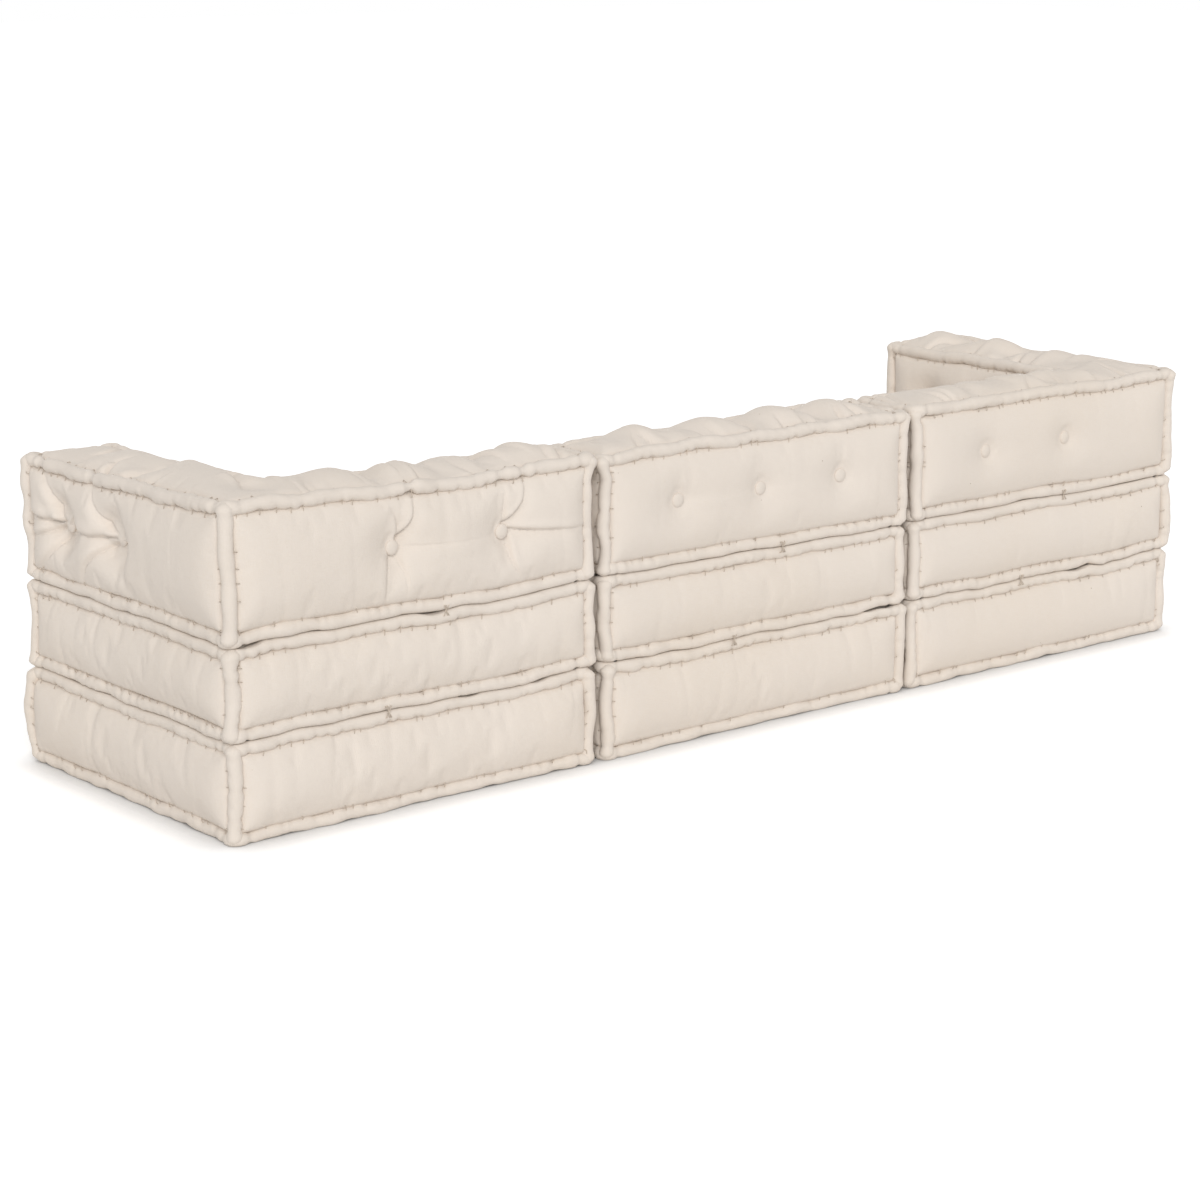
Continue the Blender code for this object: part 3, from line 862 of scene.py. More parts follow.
def morePoints(grid, chosen):
    # another row halfway in each chosen gap along the first way: nine sixteenths of the two rows beside it
    # less a sixteenth of the next ones out
    before = np.concatenate([2 * grid[:1] - grid[1:2], grid[:-2]])
    after = np.concatenate([grid[2:], 2 * grid[-1:] - grid[-2:-1]])
    halfway = (9 * (grid[:-1] + grid[1:]) - before - after) / 16
    return np.insert(grid, np.flatnonzero(chosen) + 1, halfway[chosen], axis=0)


def refined(lines, grid, pad, axis):
    # lines and the grid on them, halved once everywhere and once more in the bands of fine folds
    chosen = np.ones(len(lines) - 1, bool)
    lines, grid = moreLines(lines, chosen), morePoints(grid, chosen)
    chosen = inFineBand(lines, pad, axis)
    return moreLines(lines, chosen), morePoints(grid, chosen)


creases = {
    # u and v of both ends on the panel, sideways bow, depth, width, soft side;
    # u runs up a rear panel and along an arm
    ("right_back", 1, 1): [
        (0.424, 0.036, 0.496, 0.008, -0.012, 0.0120, 0.0030, -1),
        (0.430, 0.036, 0.474, 0.052, -0.006, 0.0070, 0.0028, -1),
        (0.400, 0.046, 0.318, 0.060, -0.006, 0.0080, 0.0050, 1),
        (0.400, 0.040, 0.330, 0.026, 0.006, 0.0050, 0.0045, -1),
        (0.424, -0.168, 0.496, -0.206, -0.014, 0.0120, 0.0030, -1),
        (0.428, -0.166, 0.494, -0.168, 0.002, 0.0060, 0.0040, 1),
        (0.414, -0.176, 0.396, -0.335, -0.004, 0.0120, 0.0032, -1),
        (0.402, -0.174, 0.336, -0.196, -0.009, 0.0105, 0.0032, -1),
        (0.413, 0.028, 0.413, -0.152, 0.002, 0.0050, 0.0060, 1),
    ],
    ("right_back", 0, 1): [
        (-0.184, 0.414, -0.294, 0.418, 0.003, 0.0170, 0.0050, 1),
        (-0.186, 0.410, -0.294, 0.376, 0.005, 0.0140, 0.0055, 1),
        (-0.184, 0.420, -0.244, 0.494, -0.008, 0.0150, 0.0050, -1),
        (-0.182, 0.404, -0.262, 0.324, 0.008, 0.0130, 0.0075, 1),
        (-0.030, 0.411, -0.166, 0.416, 0.004, 0.0140, 0.0050, 1),
        (-0.026, 0.422, -0.090, 0.496, 0.010, 0.0130, 0.0055, -1),
        (-0.030, 0.402, -0.126, 0.318, -0.014, 0.0120, 0.0055, 1),
        (-0.012, 0.402, 0.020, 0.330, 0.004, 0.0060, 0.0100, 0),
    ],
    ("middle_back", 1, 1): [
        (0.413, 0.172, 0.413, -0.172, 0.001, 0.0024, 0.0040, 1),
        (0.424, 0.183, 0.464, 0.178, 0.003, 0.0034, 0.0040, 1),
        (0.424, -0.186, 0.474, -0.190, 0.003, 0.0034, 0.0040, 1),
    ],
}

pressing = {
    "rearFrom": 0.2,  # a rear or outer panel lies further out than this, an inner face nearer
    "buttonReach": 0.013,
    "steps": 40,
    "softDepth": 0.62,
    "softWidth": 4.0,
    "rim": 0.20,
    "rimPlace": 3.0,
    "rimWidth": 1.8,
    "fade": 1.15,
    "fadeLeast": 0.12,
}

# wrinkles start this far in from the seam; the rest are how far from the panel's ends their row starts and
# stops, how far apart they stand, how far they stray, lean and bow either way, and their ranges of length,
# depth and width
wrinkleInset = 0.004
topWrinkle = {
    "margins": (0.03, 0.02), "pitch": 0.046, "stray": 0.018, "lean": 0.03, "bow": 0.010,
    "length": (0.35, 0.9), "depth": (0.6, 1.2), "width": (0.0036, 0.0060),
}
sideWrinkle = {
    "margins": (0.04, 0.03), "pitch": 0.058, "stray": 0.022, "lean": 0.02, "bow": 0.006,
    "length": (0.55, 1.1), "depth": (0.3, 1.0), "width": (0.006, 0.011),
    "fromTop": 0.65, "backShare": 0.55,
}


def either(draw, most):
    # a draw from minus most to plus most
    return draw.uniform(-most, most)


def wrinkleRow(look, row):
    return np.arange(row.min() + look["margins"][0], row.max() - look["margins"][1], look["pitch"])


def wrinkleEnds(alongU, place, lean, first, last):
    # u and v of both ends of a wrinkle, in a row of wrinkles along u or along v
    return (place, first, place + lean, last) if alongU else (first, place, last, place + lean)


def topWrinkles(panel, pad):
    # creases across the top of a back, from either long edge towards the middle
    look, u, v = topWrinkle, panel["u"], panel["v"]
    alongU = np.ptp(u) > np.ptp(v)
    row, short = (u, v) if alongU else (v, u)
    draw = np.random.default_rng(pad["seed"] * 5 + int(1000 * abs(u.min())))
    made = []
    for middle in wrinkleRow(look, row):
        place = middle + either(draw, look["stray"])
        ends = (short.min() + wrinkleInset, short.max() - wrinkleInset)
        first, last = ends if draw.random() < 0.5 else ends[::-1]
        last = first + (last - first) * draw.uniform(*look["length"])
        lean = either(draw, look["lean"])
        bow = either(draw, look["bow"])
        deep = pad["module"]["crease"] * draw.uniform(*look["depth"])
        wide = draw.uniform(*look["width"])
        ends = wrinkleEnds(alongU, place, lean, first, last)
        made.append(ends + (bow, deep, wide, draw.integers(-1, 2)))
    return made


def sideWrinkles(panel, pad):
    # upright wrinkles that start at the upper or the lower seam and fade on the way, at uneven places
    look, axis = sideWrinkle, panel["axis"]
    level, row = (panel["u"], panel["v"]) if axis == 1 else (panel["v"], panel["u"])
    low, high = level.min() + wrinkleInset, level.max() - wrinkleInset
    draw = np.random.default_rng(pad["seed"] * 7 + axis * 3 + panel["sign"])
    depth = pad["module"]["wrinkle"] * (look["backShare"] if pad["kind"] == "back" else 1.0)
    made = []
    for middle in wrinkleRow(look, row):
        place = middle + either(draw, look["stray"])
        lean = either(draw, look["lean"])
        length = draw.uniform(*look["length"]) * (high - low)
        bow = either(draw, look["bow"])
        first, last = (high, high - length) if draw.random() < look["fromTop"] else (low, low + length)
        deep = depth * draw.uniform(*look["depth"])
        wide = draw.uniform(*look["width"])
        ends = wrinkleEnds(axis == 0, place, lean, first, last)
        made.append(ends + (bow, deep, wide, draw.integers(-1, 2)))
    return made


def panelCreases(panel, pad):
    # the wrinkles of a panel and, on the rear and the outer side of an arm, its folds
    if panel["axis"] < 2:
        found = sideWrinkles(panel, pad)
    else:
        found = topWrinkles(panel, pad) if pad["kind"] == "back" else []
    if abs(panel["plane"]) > pressing["rearFrom"]:
        found += creases.get((pad["name"], panel["axis"], panel["sign"]), [])
    return found


def pressCreases(shape, panel, pad):
    # each crease is a bowed line with a dip that fades with distance, steeply on one side and slowly on its
    # soft side, and leaves the cloth round each button as it is
    u, v = panel["u"], panel["v"]
    kept = np.ones(u.shape)
    for _, away in tuftsOn(pad, panel):
        kept *= 1 - bell(away, pressing["buttonReach"])
    share = np.linspace(0, 1, pressing["steps"])
    for u0, v0, u1, v1, bow, depth, width, soft in panelCreases(panel, pad):
        length = math.hypot(u1 - u0, v1 - v0)
        acrossU, acrossV = (v0 - v1) / length, (u1 - u0) / length
        lift = 4 * bow * share * (1 - share)
        lineU = u0 + (u1 - u0) * share + lift * acrossU
        lineV = v0 + (v1 - v0) * share + lift * acrossV
        gaps = np.hypot(u[..., None] - lineU, v[..., None] - lineV)
        nearest = gaps.argmin(axis=-1)
        gap = gaps.min(axis=-1)
        aside = (u - lineU[nearest]) * acrossU + (v - lineV[nearest]) * acrossV
        slow = aside * soft > 0
        taper = np.clip(pressing["fade"] * (1 - share[nearest]) + pressing["fadeLeast"], 0, 1)
        gentle = pressing["softDepth"] * bell(gap, pressing["softWidth"] * width)
        rim = pressing["rim"] * bell(gap - pressing["rimPlace"] * width, pressing["rimWidth"] * width)
        dip = np.where(slow, gentle, bell(gap, width) - rim)
        shape[..., panel["axis"]] -= panel["sign"] * depth * taper * dip * kept


def panelPatch(panel, pad):
    # a swollen panel on finer lines, with its creases, and a shoulder that rises past the stitch line
    axis, sign = panel["axis"], panel["sign"]
    shape = pad["swollen"][panel["where"]].reshape(panel["flat"].shape)
    shape = np.concatenate([shape, panel["seam"][..., None]], axis=-1)
    uLines, shape = refined(panel["u"][:, 0], shape, pad, (axis + 1) % 3)
    vLines, shape = refined(panel["v"][0], shape.swapaxes(0, 1), pad, (axis + 2) % 3)
    shape = shape.swapaxes(0, 1)
    fine = gridPanel(axis, sign, panel["plane"], uLines, vLines)
    past = shape[..., 3] - pads["stitchInset"]
    shape = shape[..., :3].copy()
    pressCreases(shape, fine, pad)
    shape[..., axis] += sign * pads["shoulder"] * eased(past / pads["shoulderLength"])
    quads = gridQuads(past.shape, sign)
    uv = np.stack([fine["u"].ravel(), fine["v"].ravel()], axis=1)
    return {"flat": fine["flat"], "points": shape.reshape(-1, 3), "quads": quads, "quadUv": uv[quads]}


def finishCover(pad):
    # the finer panels and the hidden faces, all sewn into one closed cover
    patches = [panelPatch(panel, pad) for panel in pad["cover"]["panels"]]
    x, y, z = (refined(lines, lines, pad, axis)[0] for axis, lines in enumerate(pad["lines"]))
    patches.append(capPatch(pad, x, y, z[0], -1))
    if pad["kind"] == "base":
        patches.append(capPatch(pad, x, y, z[-1], 1))
    loose, faceSets, uvSets = gathered(patches)
    where = np.concatenate(joined([patch["flat"] for patch in patches]))
    points = np.zeros((where.max() + 1, 3))
    points[where[::-1]] = loose[::-1]
    faceSets = [where[faces] for faces in faceSets]
    piece = fitted(f"{pad['name']}_pad", pad, points, faceSets, uvSets, "canvas", "canvas")
    nodes = [f"{pad['name']}_cover", f"{pad['name']}_fill"]
    if pad["notch"]:
        nodes.append(f"{pad['module']['name']}_arm_fill")
    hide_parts(*nodes)


for pad in allPads:
    finishCover(pad)
print("covers finished")


# stitches: short slanted threads from the panels over their creases onto the rolled edges

threads = {
    "radius": 0.00065,
    "tackRadius": 0.000845,
    "sides": 5,
    "slant": 0.0016,
    "shown": 0.6,
    "free": 0.02,  # clear of the pad above
    "postEnds": 6,  # steps at either end of a post without a stitch
    "uvStep": (0.004, 0.001),
    # outward and sideways of the panel's crease: under the cloth, on the cloth, on the roll, under it
    "plan": np.array([[0.0030, -0.0165], [0.0084, -0.0146], [0.0083, -0.0096], [0.0057, -0.0065]]),
}


def addStitches(pad, centre, out, sideways, run, girth):
    # each thread follows the plan from its centre, with the points on the roll moved by the roll's girth
    shown = np.random.default_rng(pad["seed"] + len(pad["stitches"])).random(len(centre)) < threads["shown"]
    centre, out, sideways, run, girth = (each[shown] for each in (centre, out, sideways, run, girth))
    reach = np.repeat(threads["plan"][None], len(centre), axis=0)
    reach[:, 2:] *= (girth / rolls["radius"])[:, None, None]
    slant = threads["slant"] * np.linspace(-1, 1, reach.shape[1])
    lines = centre[:, None] + reach[..., :1] * out[:, None] + reach[..., 1:] * sideways[:, None]
    pad["stitches"].append((lines + slant[None, :, None] * run[:, None], run))


def addRingStitches(pad, path, along, outward, radius, at, up):
    # along the side panels and, where the top shows, along the top panel too
    near = np.abs(along[:, None] - at).argmin(axis=0)
    centre, out, girth = path[near], outward[near], radius[near].mean(axis=1)
    run = np.cross(np.array([0.0, 0.0, 1.0]), out)
    upward = np.tile([0.0, 0.0, float(up)], (len(near), 1))
    addStitches(pad, centre, out, upward, run, girth)
    if up > 0 and pad["kind"] != "base":
        free = centre[:, 1] < pad["freeRear"] - threads["free"]
        free &= centre[:, 0] < pad["freeSide"] - threads["free"]
        free |= pad["kind"] == "back"
        addStitches(pad, centre[free], upward[free], out[free], run[free], girth[free])


def addPostStitches(pad, path, radius, at, signs):
    # along both panels that meet at an upright corner
    near = np.abs(path[:, 2][:, None] - at).argmin(axis=0)
    near = near[(near >= threads["postEnds"]) & (near < len(path) - threads["postEnds"])]
    x, y, run = (np.tile(row, (len(near), 1)) for row in np.diag([*signs, 1.0]))
    girth = radius[near].mean(axis=1)
    addStitches(pad, path[near], x, y, run, girth)
    addStitches(pad, path[near], y, x, run, girth)


def addThread(name, pad, lines, side, radius):
    # round threads along lines of points, each closed by a fan at both ends
    count, steps, _ = lines.shape
    sides = threads["sides"]
    run = np.gradient(lines, axis=1)
    run /= np.linalg.norm(run, axis=2, keepdims=True)
    across = side[:, None, :] - run * (run * side[:, None, :]).sum(axis=2, keepdims=True)
    across /= np.linalg.norm(across, axis=2, keepdims=True)
    lift = np.cross(run, across)
    around = ringAngles(sides)[:, None]
    rings = across[:, :, None] * np.cos(around) + lift[:, :, None] * np.sin(around)
    rings = lines[:, :, None] + radius * rings
    points = np.concatenate([rings.reshape(count, -1, 3), lines[:, :1], lines[:, -1:]], axis=1)
    index = np.arange(steps * sides).reshape(steps, sides)
    fans = np.concatenate([ringFan(index[0], index.size)[:, ::-1], ringFan(index[-1], index.size + 1)])
    jump = (np.arange(count) * (index.size + 2))[:, None, None]
    faceSets = [(faces + jump).reshape(-1, faces.shape[1]) for faces in (ringQuads(index), fans)]
    uv = np.stack([index.ravel() // sides, index.ravel() % sides], axis=1) * threads["uvStep"]
    uv = np.tile(np.concatenate([uv, np.zeros((2, 2))]), (count, 1))
    uvSets = [uv[faces] for faces in faceSets]
    return fitted(name, pad, points.reshape(-1, 3), faceSets, uvSets, "twine", "thread")


def addStitching(pad):
    lines, runs = (np.concatenate(each) for each in zip(*pad["stitches"]))
    addThread(f"{pad['name']}_stitching", pad, lines, runs, threads["radius"])


tacks = {
    "starts": np.array([-0.006, 0.006, -0.002]),
    "ends": np.array([0.005, -0.006, 0.001]),
    "rise": np.array([-0.0105, -0.0080, -0.0040, 0.0, 0.0040, 0.0080, 0.0105]),
    "proud": np.array([-0.0010, 0.0055, 0.0048, 0.0030, 0.0048, 0.0055, -0.0010]),
}


def addTack(pad):
    # a few threads laid zigzag over the two rolls where a pad is tacked to the one above it
    low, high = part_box(f"{pad['name']}_tack")
    middle = (low + high) / 2
    x = (middle.x - pad["module"]["offset"]) * pad["module"]["hand"]
    starts, ends, rise = tacks["starts"][:, None], tacks["ends"][:, None], tacks["rise"]
    lines = np.empty((len(starts), len(rise), 3))
    lines[..., 0] = x + starts + (ends - starts) * (rise - rise[0]) / np.ptp(rise)
    lines[..., 1] = high.y + tacks["proud"]
    lines[..., 2] = middle.z + rise
    side = np.tile([1.0, 0.0, 0.0], (len(starts), 1))
    piece = addThread(f"{pad['name']}_tack_thread", pad, lines, side, threads["tackRadius"])
    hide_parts(f"{pad['name']}_tack")


# rolled edges: lumpy tubes pinched by their stitches

rolls = {
    "inset": 0.0100,
    "radius": 0.0112,
    "postRadius": 0.0121,
    "postInset": 0.0095,
    "postOver": 0.0090,
    "cornerRadius": 0.010,
    "step": 0.0036,
    "sides": 16,
    "stitchPitch": 0.023,
    "stitchStray": 0.32,
    "pinch": 0.33,
    "pinchReach": 0.0050,
    "pinchAround": 0.75,
    "pinchLeast": 0.14,
    "tightness": (0.1, 1.0),
    "tightPower": 1.5,
    "lump": 0.11,
    "lumpCount": 7,
    "lumpLengths": (0.045, 0.16),
    "lumpGain": 1.5,
    "fold": 0.03,
    "knot": 0.08,
    "knotReach": 0.011,
    "neck": 0.24,
    "neckPlace": 0.021,
    "neckReach": 0.005,
    "tie": 0.36,
    "tieReach": 0.010,
    "tip": 0.14,
    "tipPlace": 0.011,
    "tipReach": 0.007,
    "tipLeast": 0.10,
    "wander": 0.0022,
    "wanderLength": 0.08,
    "postWander": 0.0033,
    "meetLength": 0.10,
    "meetAcross": np.array([1.0, 1.0, 0.0]),
    "meetGap": 0.0002,
    "slit": 0.010,
    "slitLength": 0.13,
    "slitFrom": 0.75,
    "slitMost": 0.35,
    "ringCreases": np.array([-55.0, 145.0]),  # degrees round a roll at which its panels meet it
    "postCreases": np.array([-100.0, 100.0]),
    "postSides": [(-1, -1), (1, -1), (1, 1), (-1, 1), (-1, -1)],
    # x and y of the places where a fold of the cover draws the roll in
    "ties": {"right_back": [(0.012, 0.29), (-0.206, 0.29), (-0.165, 0.29), (0.34, -0.244), (0.34, -0.090)]},
}


def rollLoop(pad, arcSteps=6):
    # closed run of straight lines with an arc at each corner, in even steps; outward along it, and how near
    # each point is to a corner's knot and to the necks beside it
    corners = np.array(padCorners(pad, rolls["inset"]))
    into = corners - np.roll(corners, 1, axis=0)
    into *= rolls["cornerRadius"] / np.linalg.norm(into, axis=1, keepdims=True)
    out = np.roll(into, -1, axis=0)
    turn = np.linspace(0, np.pi / 2, arcSteps)[:, None]
    arcs = (corners - into + out)[:, None] - out[:, None] * np.cos(turn) + into[:, None] * np.sin(turn)
    dense = np.concatenate([*arcs, arcs[0][:1]])
    length = np.concatenate([[0], np.cumsum(np.linalg.norm(np.diff(dense, axis=0), axis=1))])
    total = length[-1]
    marks = length[:-1].reshape(-1, arcSteps)[:, arcSteps // 2 - 1: arcSteps // 2 + 1].mean(axis=1)
    count = round(total / rolls["step"])
    along = np.arange(count) * total / count
    flat = np.stack([np.interp(along, length, dense[:, k]) for k in range(2)], axis=1)
    tangent = np.roll(flat, -1, axis=0) - np.roll(flat, 1, axis=0)
    tangent /= np.linalg.norm(tangent, axis=1, keepdims=True)
    gap = np.abs(along[:, None] - marks)
    gap = np.minimum(gap, total - gap)
    knot = bell(gap, rolls["knotReach"]).max(axis=1)
    neck = bell(gap - rolls["neckPlace"], rolls["neckReach"]).max(axis=1)
    return {
        "flat": flat,
        "along": along,
        "total": total,
        "outward": np.stack([tangent[:, 1], -tangent[:, 0], np.zeros(count)], axis=1),
        "swell": rolls["knot"] * knot - rolls["neck"] * neck,
    }


def lumps(along, total, seed, creaseTurns, closed):
    # radius share along a roll: a slow unevenness and a pinch at each stitch, strongest where the roll
    # meets its panels; also the places of the stitches
    draw = np.random.default_rng(seed)
    around = ringAngles(rolls["sides"])
    count = max(2, round(total / rolls["stitchPitch"]))
    stray = draw.uniform(-rolls["stitchStray"], rolls["stitchStray"], count)
    at = (np.arange(count) + stray) * total / count
    gap = np.abs(along[:, None] - at)
    if closed:
        gap = np.minimum(gap, total - gap)
    tight = draw.uniform(*rolls["tightness"], count) ** rolls["tightPower"]
    pinch = (tight * bell(gap, rolls["pinchReach"])).max(axis=1)[:, None]
    turns = np.abs((around[:, None] - np.radians(creaseTurns) + np.pi) % (2 * np.pi) - np.pi).min(axis=1)
    bite = rolls["pinchLeast"] + (1 - rolls["pinchLeast"]) * bell(turns, rolls["pinchAround"])
    wave = 2 * np.pi / draw.uniform(*rolls["lumpLengths"], rolls["lumpCount"])
    if closed:
        wave = np.round(wave * total / (2 * np.pi)) * 2 * np.pi / total
    fullTurn = 6.28
    phase = draw.uniform(0, fullTurn, rolls["lumpCount"])
    slow = np.sin(along[:, None] * wave + phase).mean(axis=1)[:, None] * rolls["lumpGain"]
    fold = np.sin(along[:, None] * wave[0] * 2 + around * 2 + draw.uniform(0, fullTurn))
    return 1 + rolls["lump"] * slow - rolls["pinch"] * pinch * bite + rolls["fold"] * fold, at


def tube(path, outward, upward, radius, closed):
    # rings of points round a path: radius times cosine outwards plus sine upwards
    sides = radius.shape[1]
    around = ringAngles(sides)[:, None]
    rings = outward[:, None, :] * np.cos(around) + upward * np.sin(around)
    points = path[:, None, :] + radius[:, :, None] * rings
    index = np.arange(radius.size).reshape(radius.shape)
    index = np.concatenate([index, index[:1]]) if closed else index
    rows = np.repeat(np.arange(len(index) - 1), sides)[:, None] + np.array([0, 0, 1, 1])
    columns = np.tile(np.arange(sides), len(index) - 1)[:, None] + np.array([0, 1, 1, 0])
    stepLength = np.linalg.norm(np.diff(path, axis=0), axis=1).mean()
    girth = 2 * np.pi * radius.mean() / sides
    uv = np.stack([rows * stepLength, columns * girth], axis=-1)
    turned = -1 if closed else 1
    return {
        "points": points.reshape(-1, 3),
        "quads": ringQuads(index)[:, ::turned],
        "quadUv": uv[:, ::turned],
    }


def ringRoll(pad, loop, number, height):
    # the ring round the foot or the top: where two pads meet, both rings wander alike and are flat,
    # with slits where the upper edge of the lower pad sinks away
    flat, along, total, outward = loop["flat"], loop["along"], loop["total"], loop["outward"]
    seed = pad["seed"] * 10 + number
    up = 2 * number - 1
    share, at = lumps(along, total, seed, rolls["ringCreases"] * up, True)
    radius = rolls["radius"] * (share + loop["swell"][:, None])
    if up > 0:
        for x, y in rolls["ties"].get(pad["name"], []):
            away = np.hypot(flat[:, 0] - x, flat[:, 1] - y)
            radius *= 1 - rolls["tie"] * np.exp(-((away / rolls["tieReach"]) ** 4))[:, None]
    path = np.concatenate([flat, np.full((len(flat), 1), height)], axis=1)
    meeting = pad["module"]["seed"] + pad["number"] + number
    path[:, 2] += rolls["wander"] * ripple(path * rolls["meetAcross"], meeting, rolls["meetLength"])
    path += outward * (rolls["wander"] * ripple(path, seed + 2, rolls["wanderLength"]))[:, None]
    patch = tube(path, outward, np.array([0.0, 0.0, 1.0]), radius, True)
    addRingStitches(pad, path, along, outward, radius, at % total, up)
    points = patch["points"]
    drift = rolls["wander"] * ripple(points * rolls["meetAcross"], meeting, rolls["meetLength"])
    if up < 0 and pad["kind"] != "base":
        points[:, 2] = np.maximum(points[:, 2], pad["low"][2] + rolls["meetGap"] + drift)
    if up > 0 and pad["kind"] != "back":
        sunk = ripple(points * rolls["meetAcross"], seed + 5, rolls["slitLength"]) - rolls["slitFrom"]
        sunk = rolls["slit"] * np.clip(sunk, 0, rolls["slitMost"])
        points[:, 2] = np.minimum(points[:, 2], pad["high"][2] - rolls["meetGap"] + drift - sunk)
    return patch


def postRoll(pad, number, corner, levels):
    # the roll up an outer corner: thicker just inside its ends, and rounded off at its tips
    seed = pad["seed"] * 10 + 3 + number
    signs = rolls["postSides"][number]
    steps = round((levels[1] - levels[0]) / rolls["step"])
    rise = np.linspace(levels[0] - rolls["postOver"], levels[1] + rolls["postOver"], steps)
    lean = math.degrees(math.atan2(signs[1], signs[0]))
    share, at = lumps(rise - rise[0], rise[-1] - rise[0], seed, lean + rolls["postCreases"], False)
    tip = np.minimum(rise - rise[0], rise[-1] - rise)[:, None]
    radius = rolls["postRadius"] * (share + rolls["tip"] * bell(tip - rolls["tipPlace"], rolls["tipReach"]))
    radius *= np.sqrt(np.clip(tip / rolls["tipReach"], rolls["tipLeast"], 1))
    path = np.stack([np.full(steps, corner[0]), np.full(steps, corner[1]), rise], axis=1)
    for axis in (0, 1):
        path[:, axis] += rolls["postWander"] * ripple(path, seed + 1 + axis, rolls["wanderLength"])
    addPostStitches(pad, path, radius, rise[0] + at, signs)
    patch = tube(path, np.tile([1.0, 0.0, 0.0], (steps, 1)), np.array([0.0, 1.0, 0.0]), radius, False)
    foot = np.arange(rolls["sides"])
    head = foot + (steps - 1) * rolls["sides"]
    pole = len(patch["points"])
    points = np.concatenate([patch["points"], path[:1], path[-1:]])
    fans = np.concatenate([ringFan(foot, pole)[:, ::-1], ringFan(head, pole + 1)])
    return patch | {"points": points, "fans": fans, "fanUv": points[fans][..., :2]}


def addRolls(pad):
    # a ring round the foot and one round the top, and a post at each outer corner
    pad["stitches"] = []
    loop = rollLoop(pad)
    levels = (pad["low"][2] + rolls["inset"], pad["high"][2] - rolls["inset"])
    patches = [ringRoll(pad, loop, number, height) for number, height in enumerate(levels)]
    posts = padCorners(pad, rolls["postInset"])[:len(rolls["postSides"])]
    patches += [postRoll(pad, number, corner, levels) for number, corner in enumerate(posts)]
    piece = fitted(f"{pad['name']}_roll", pad, *gathered(patches), "roll", "rolled_edge")
    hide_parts(f"{pad['name']}_edge_roll")


for pad in allPads:
    addRolls(pad)
    addStitching(pad)
    if pad["kind"] != "back":
        addTack(pad)
print("rolled edges made and stitched")


# buttons at the tufts

buttons = {
    "radius": 0.0116,
    "height": 0.0060,
    "proud": 0.0068,
    "rings": 9,
    "sides": 28,
    "dome": 0.55,
    "domePower": 2.4,
    "rimShares": (1.04, 1.0, 0.7),
    "rimHeights": (0.25, 0.05, -0.3),
    "back": 0.4,
    "deepFrom": 0.018,  # a button in a deeper tuft than this is drawn in further
    "deepShare": 0.35,
}


def buttonPatch(pad, spot):
    # a turned profile: a low dome with a rolled rim, its back inside the pad
    height, sides, sign = buttons["height"], buttons["sides"], spot["sign"]
    lean = np.linspace(0, 1, buttons["rings"])[1:]
    radius = buttons["radius"] * np.concatenate([lean, buttons["rimShares"]])
    dome = 1 - buttons["dome"] * lean ** buttons["domePower"]
    rise = height * np.concatenate([dome, buttons["rimHeights"]])
    out, sideways, upwards = np.roll(np.eye(3), -spot["axis"], axis=0)
    out = sign * out
    cloth = pad["cover"]["full"]
    away = np.hypot(cloth @ sideways - spot["u"], cloth @ upwards - spot["v"])
    rest = (cloth[away < tufting["pinRadius"]] @ out).max()
    rest -= buttons["back"] * height + buttons["deepShare"] * max(0.0, spot["sink"] - buttons["deepFrom"])
    centre = spot["u"] * sideways + spot["v"] * upwards + (rest + buttons["proud"]) * out
    around = ringAngles(sides)[:, None]
    rings = radius[:, None, None] * (np.cos(around) * sideways + np.sin(around) * upwards)
    rings = centre + rings + rise[:, None, None] * out
    poles = [centre + height * out, centre - buttons["back"] * height * out]
    points = np.concatenate([rings.reshape(-1, 3), poles])
    index = np.arange(len(radius) * sides).reshape(-1, sides)
    quads = ringQuads(index)[:, ::-sign]
    fans = np.concatenate([ringFan(index[0], index.size), ringFan(index[-1], index.size + 1)[:, ::-1]])
    fans = fans[:, ::sign]
    uv = np.stack([points @ sideways, points @ upwards], axis=1)
    return {"points": points, "quads": quads, "quadUv": uv[quads], "fans": fans, "fanUv": uv[fans]}


def addButtons(pad):
    patches = [buttonPatch(pad, spot) for spot in pad["tufts"]]
    piece = fitted(f"{pad['name']}_buttons", pad, *gathered(patches), "button", "button")
    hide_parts(*tieNames(pad))


for pad in allPads:
    if pad["tufts"]:
        addButtons(pad)
print("buttons sewn on")


# studio: pale floor, white surround, soft light from the camera's side and a weak fill from the front

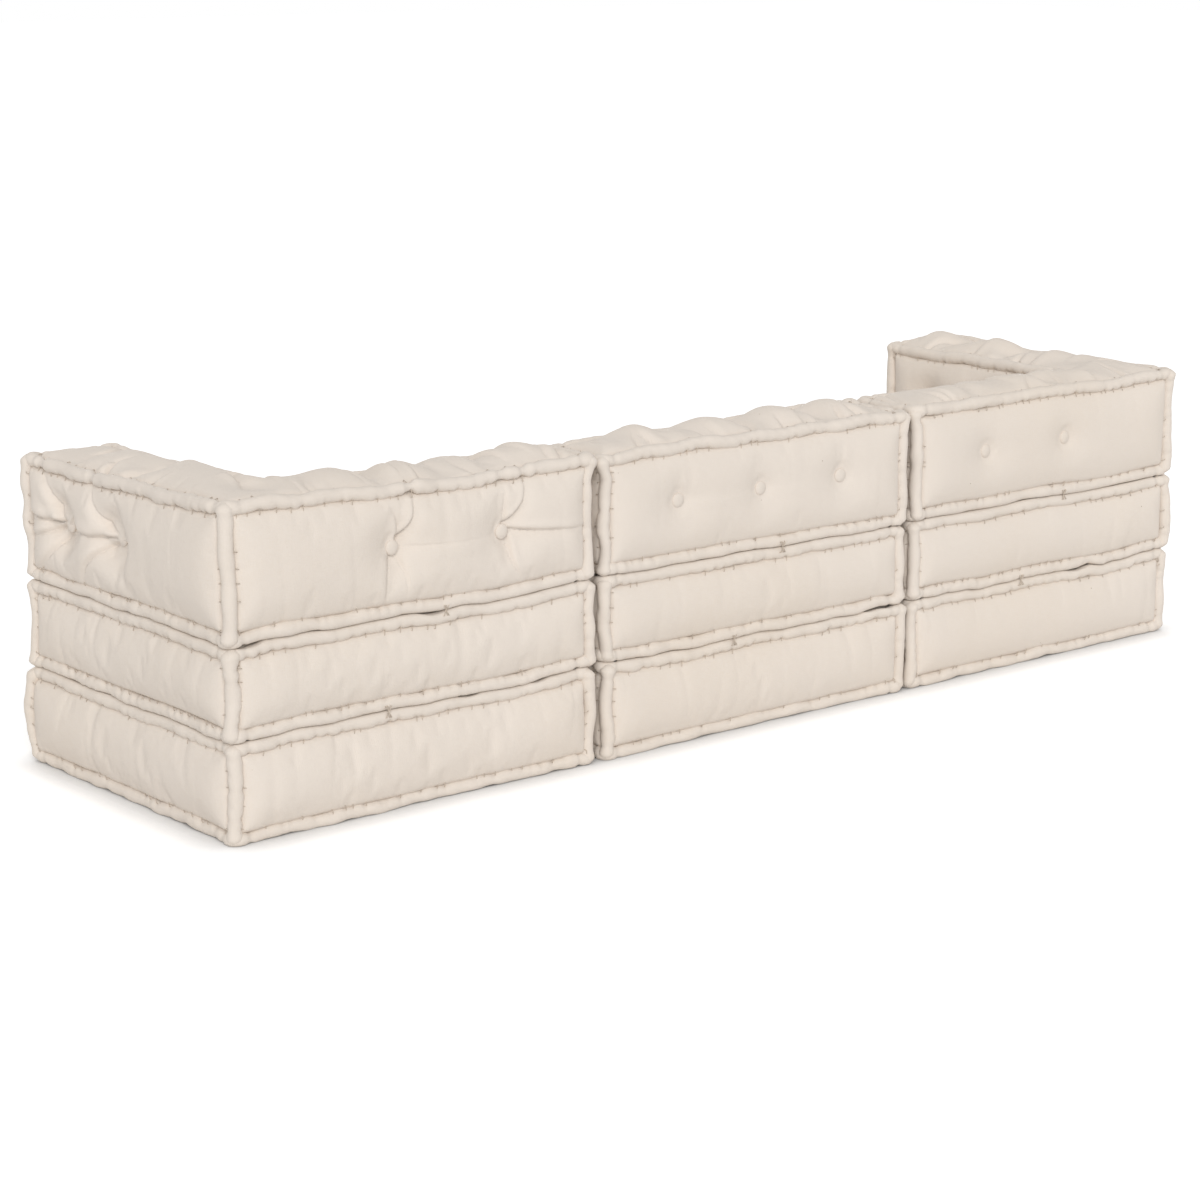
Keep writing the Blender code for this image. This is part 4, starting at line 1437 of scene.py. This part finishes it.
studio = {
    "world": 0.60,
    "lamps": {"softbox": (1.68, (0.46, 0.68, 0.41)), "fill": (0.70, (-0.35, -0.90, 0.16))},
    "lampSpread": 38.0,
    "lampDistance": 4.0,
    "floor": 0.85,
    "floorSeen": 1.28,
    "footShade": 0.46,
    "footReach": 0.060,
    "floorSize": 30.0,
}


def seenRays(tree):
    # one for what is seen, straight, in a reflection or through a surface, and nothing for what only lights
    camera = tree.node("ShaderNodeLightPath", output="Is Camera Ray")
    mirrored = tree.worked("MAXIMUM", camera, camera.beside("Is Glossy Ray"))
    return tree.worked("MAXIMUM", mirrored, camera.beside("Is Transmission Ray"))


def addWorld():
    scene.world = bpy.data.worlds.new("studio")
    tree = emptyTree(scene.world)
    strength = seenRays(tree) * (1.0 - studio["world"]) + studio["world"]
    light = tree.node("ShaderNodeBackground", inputs={"Color": (1.0, 1.0, 1.0, 1.0), "Strength": strength})
    tree.node("ShaderNodeOutputWorld", inputs={"Surface": light})


def addFloor():
    # as it lights the sofa it is plain; as it is seen it is brighter, with a shade close to the foot
    material = bpy.data.materials.new("studio_floor")
    tree = emptyTree(material)
    plain, bright, dim = (
        tree.node("ShaderNodeBsdfDiffuse", inputs={"Color": (studio[key],) * 3 + (1.0,)})
        for key in ("floor", "floorSeen", "footShade")
    )
    clear = tree.node("ShaderNodeAmbientOcclusion", inputs={"Distance": studio["footReach"]}, output="AO")
    shown = tree.node("ShaderNodeMixShader", inputs={0: clear, 1: dim, 2: bright})
    ground = tree.node("ShaderNodeMixShader", inputs={0: seenRays(tree), 1: plain, 2: shown})
    tree.node("ShaderNodeOutputMaterial", inputs={"Surface": ground})
    half = studio["floorSize"]
    points = half * np.array([(-1.0, -1.0, 0.0), (1.0, -1.0, 0.0), (1.0, 1.0, 0.0), (-1.0, 1.0, 0.0)])
    floor = makePiece("studio_floor", points, [np.array([[0, 1, 2, 3]])], [points[None, :, :2]], material)


def addLamps():
    for name, (strength, towards) in studio["lamps"].items():
        light = bpy.data.lights.new(name, "SUN")
        light.energy = strength
        light.angle = math.radians(studio["lampSpread"])
        away = Vector(towards).normalized()
        aim(bpy.data.objects.new(name, light), away * studio["lampDistance"], -away)


addWorld()
addFloor()
addLamps()
print("studio lit")

bpy.context.view_layer.update()
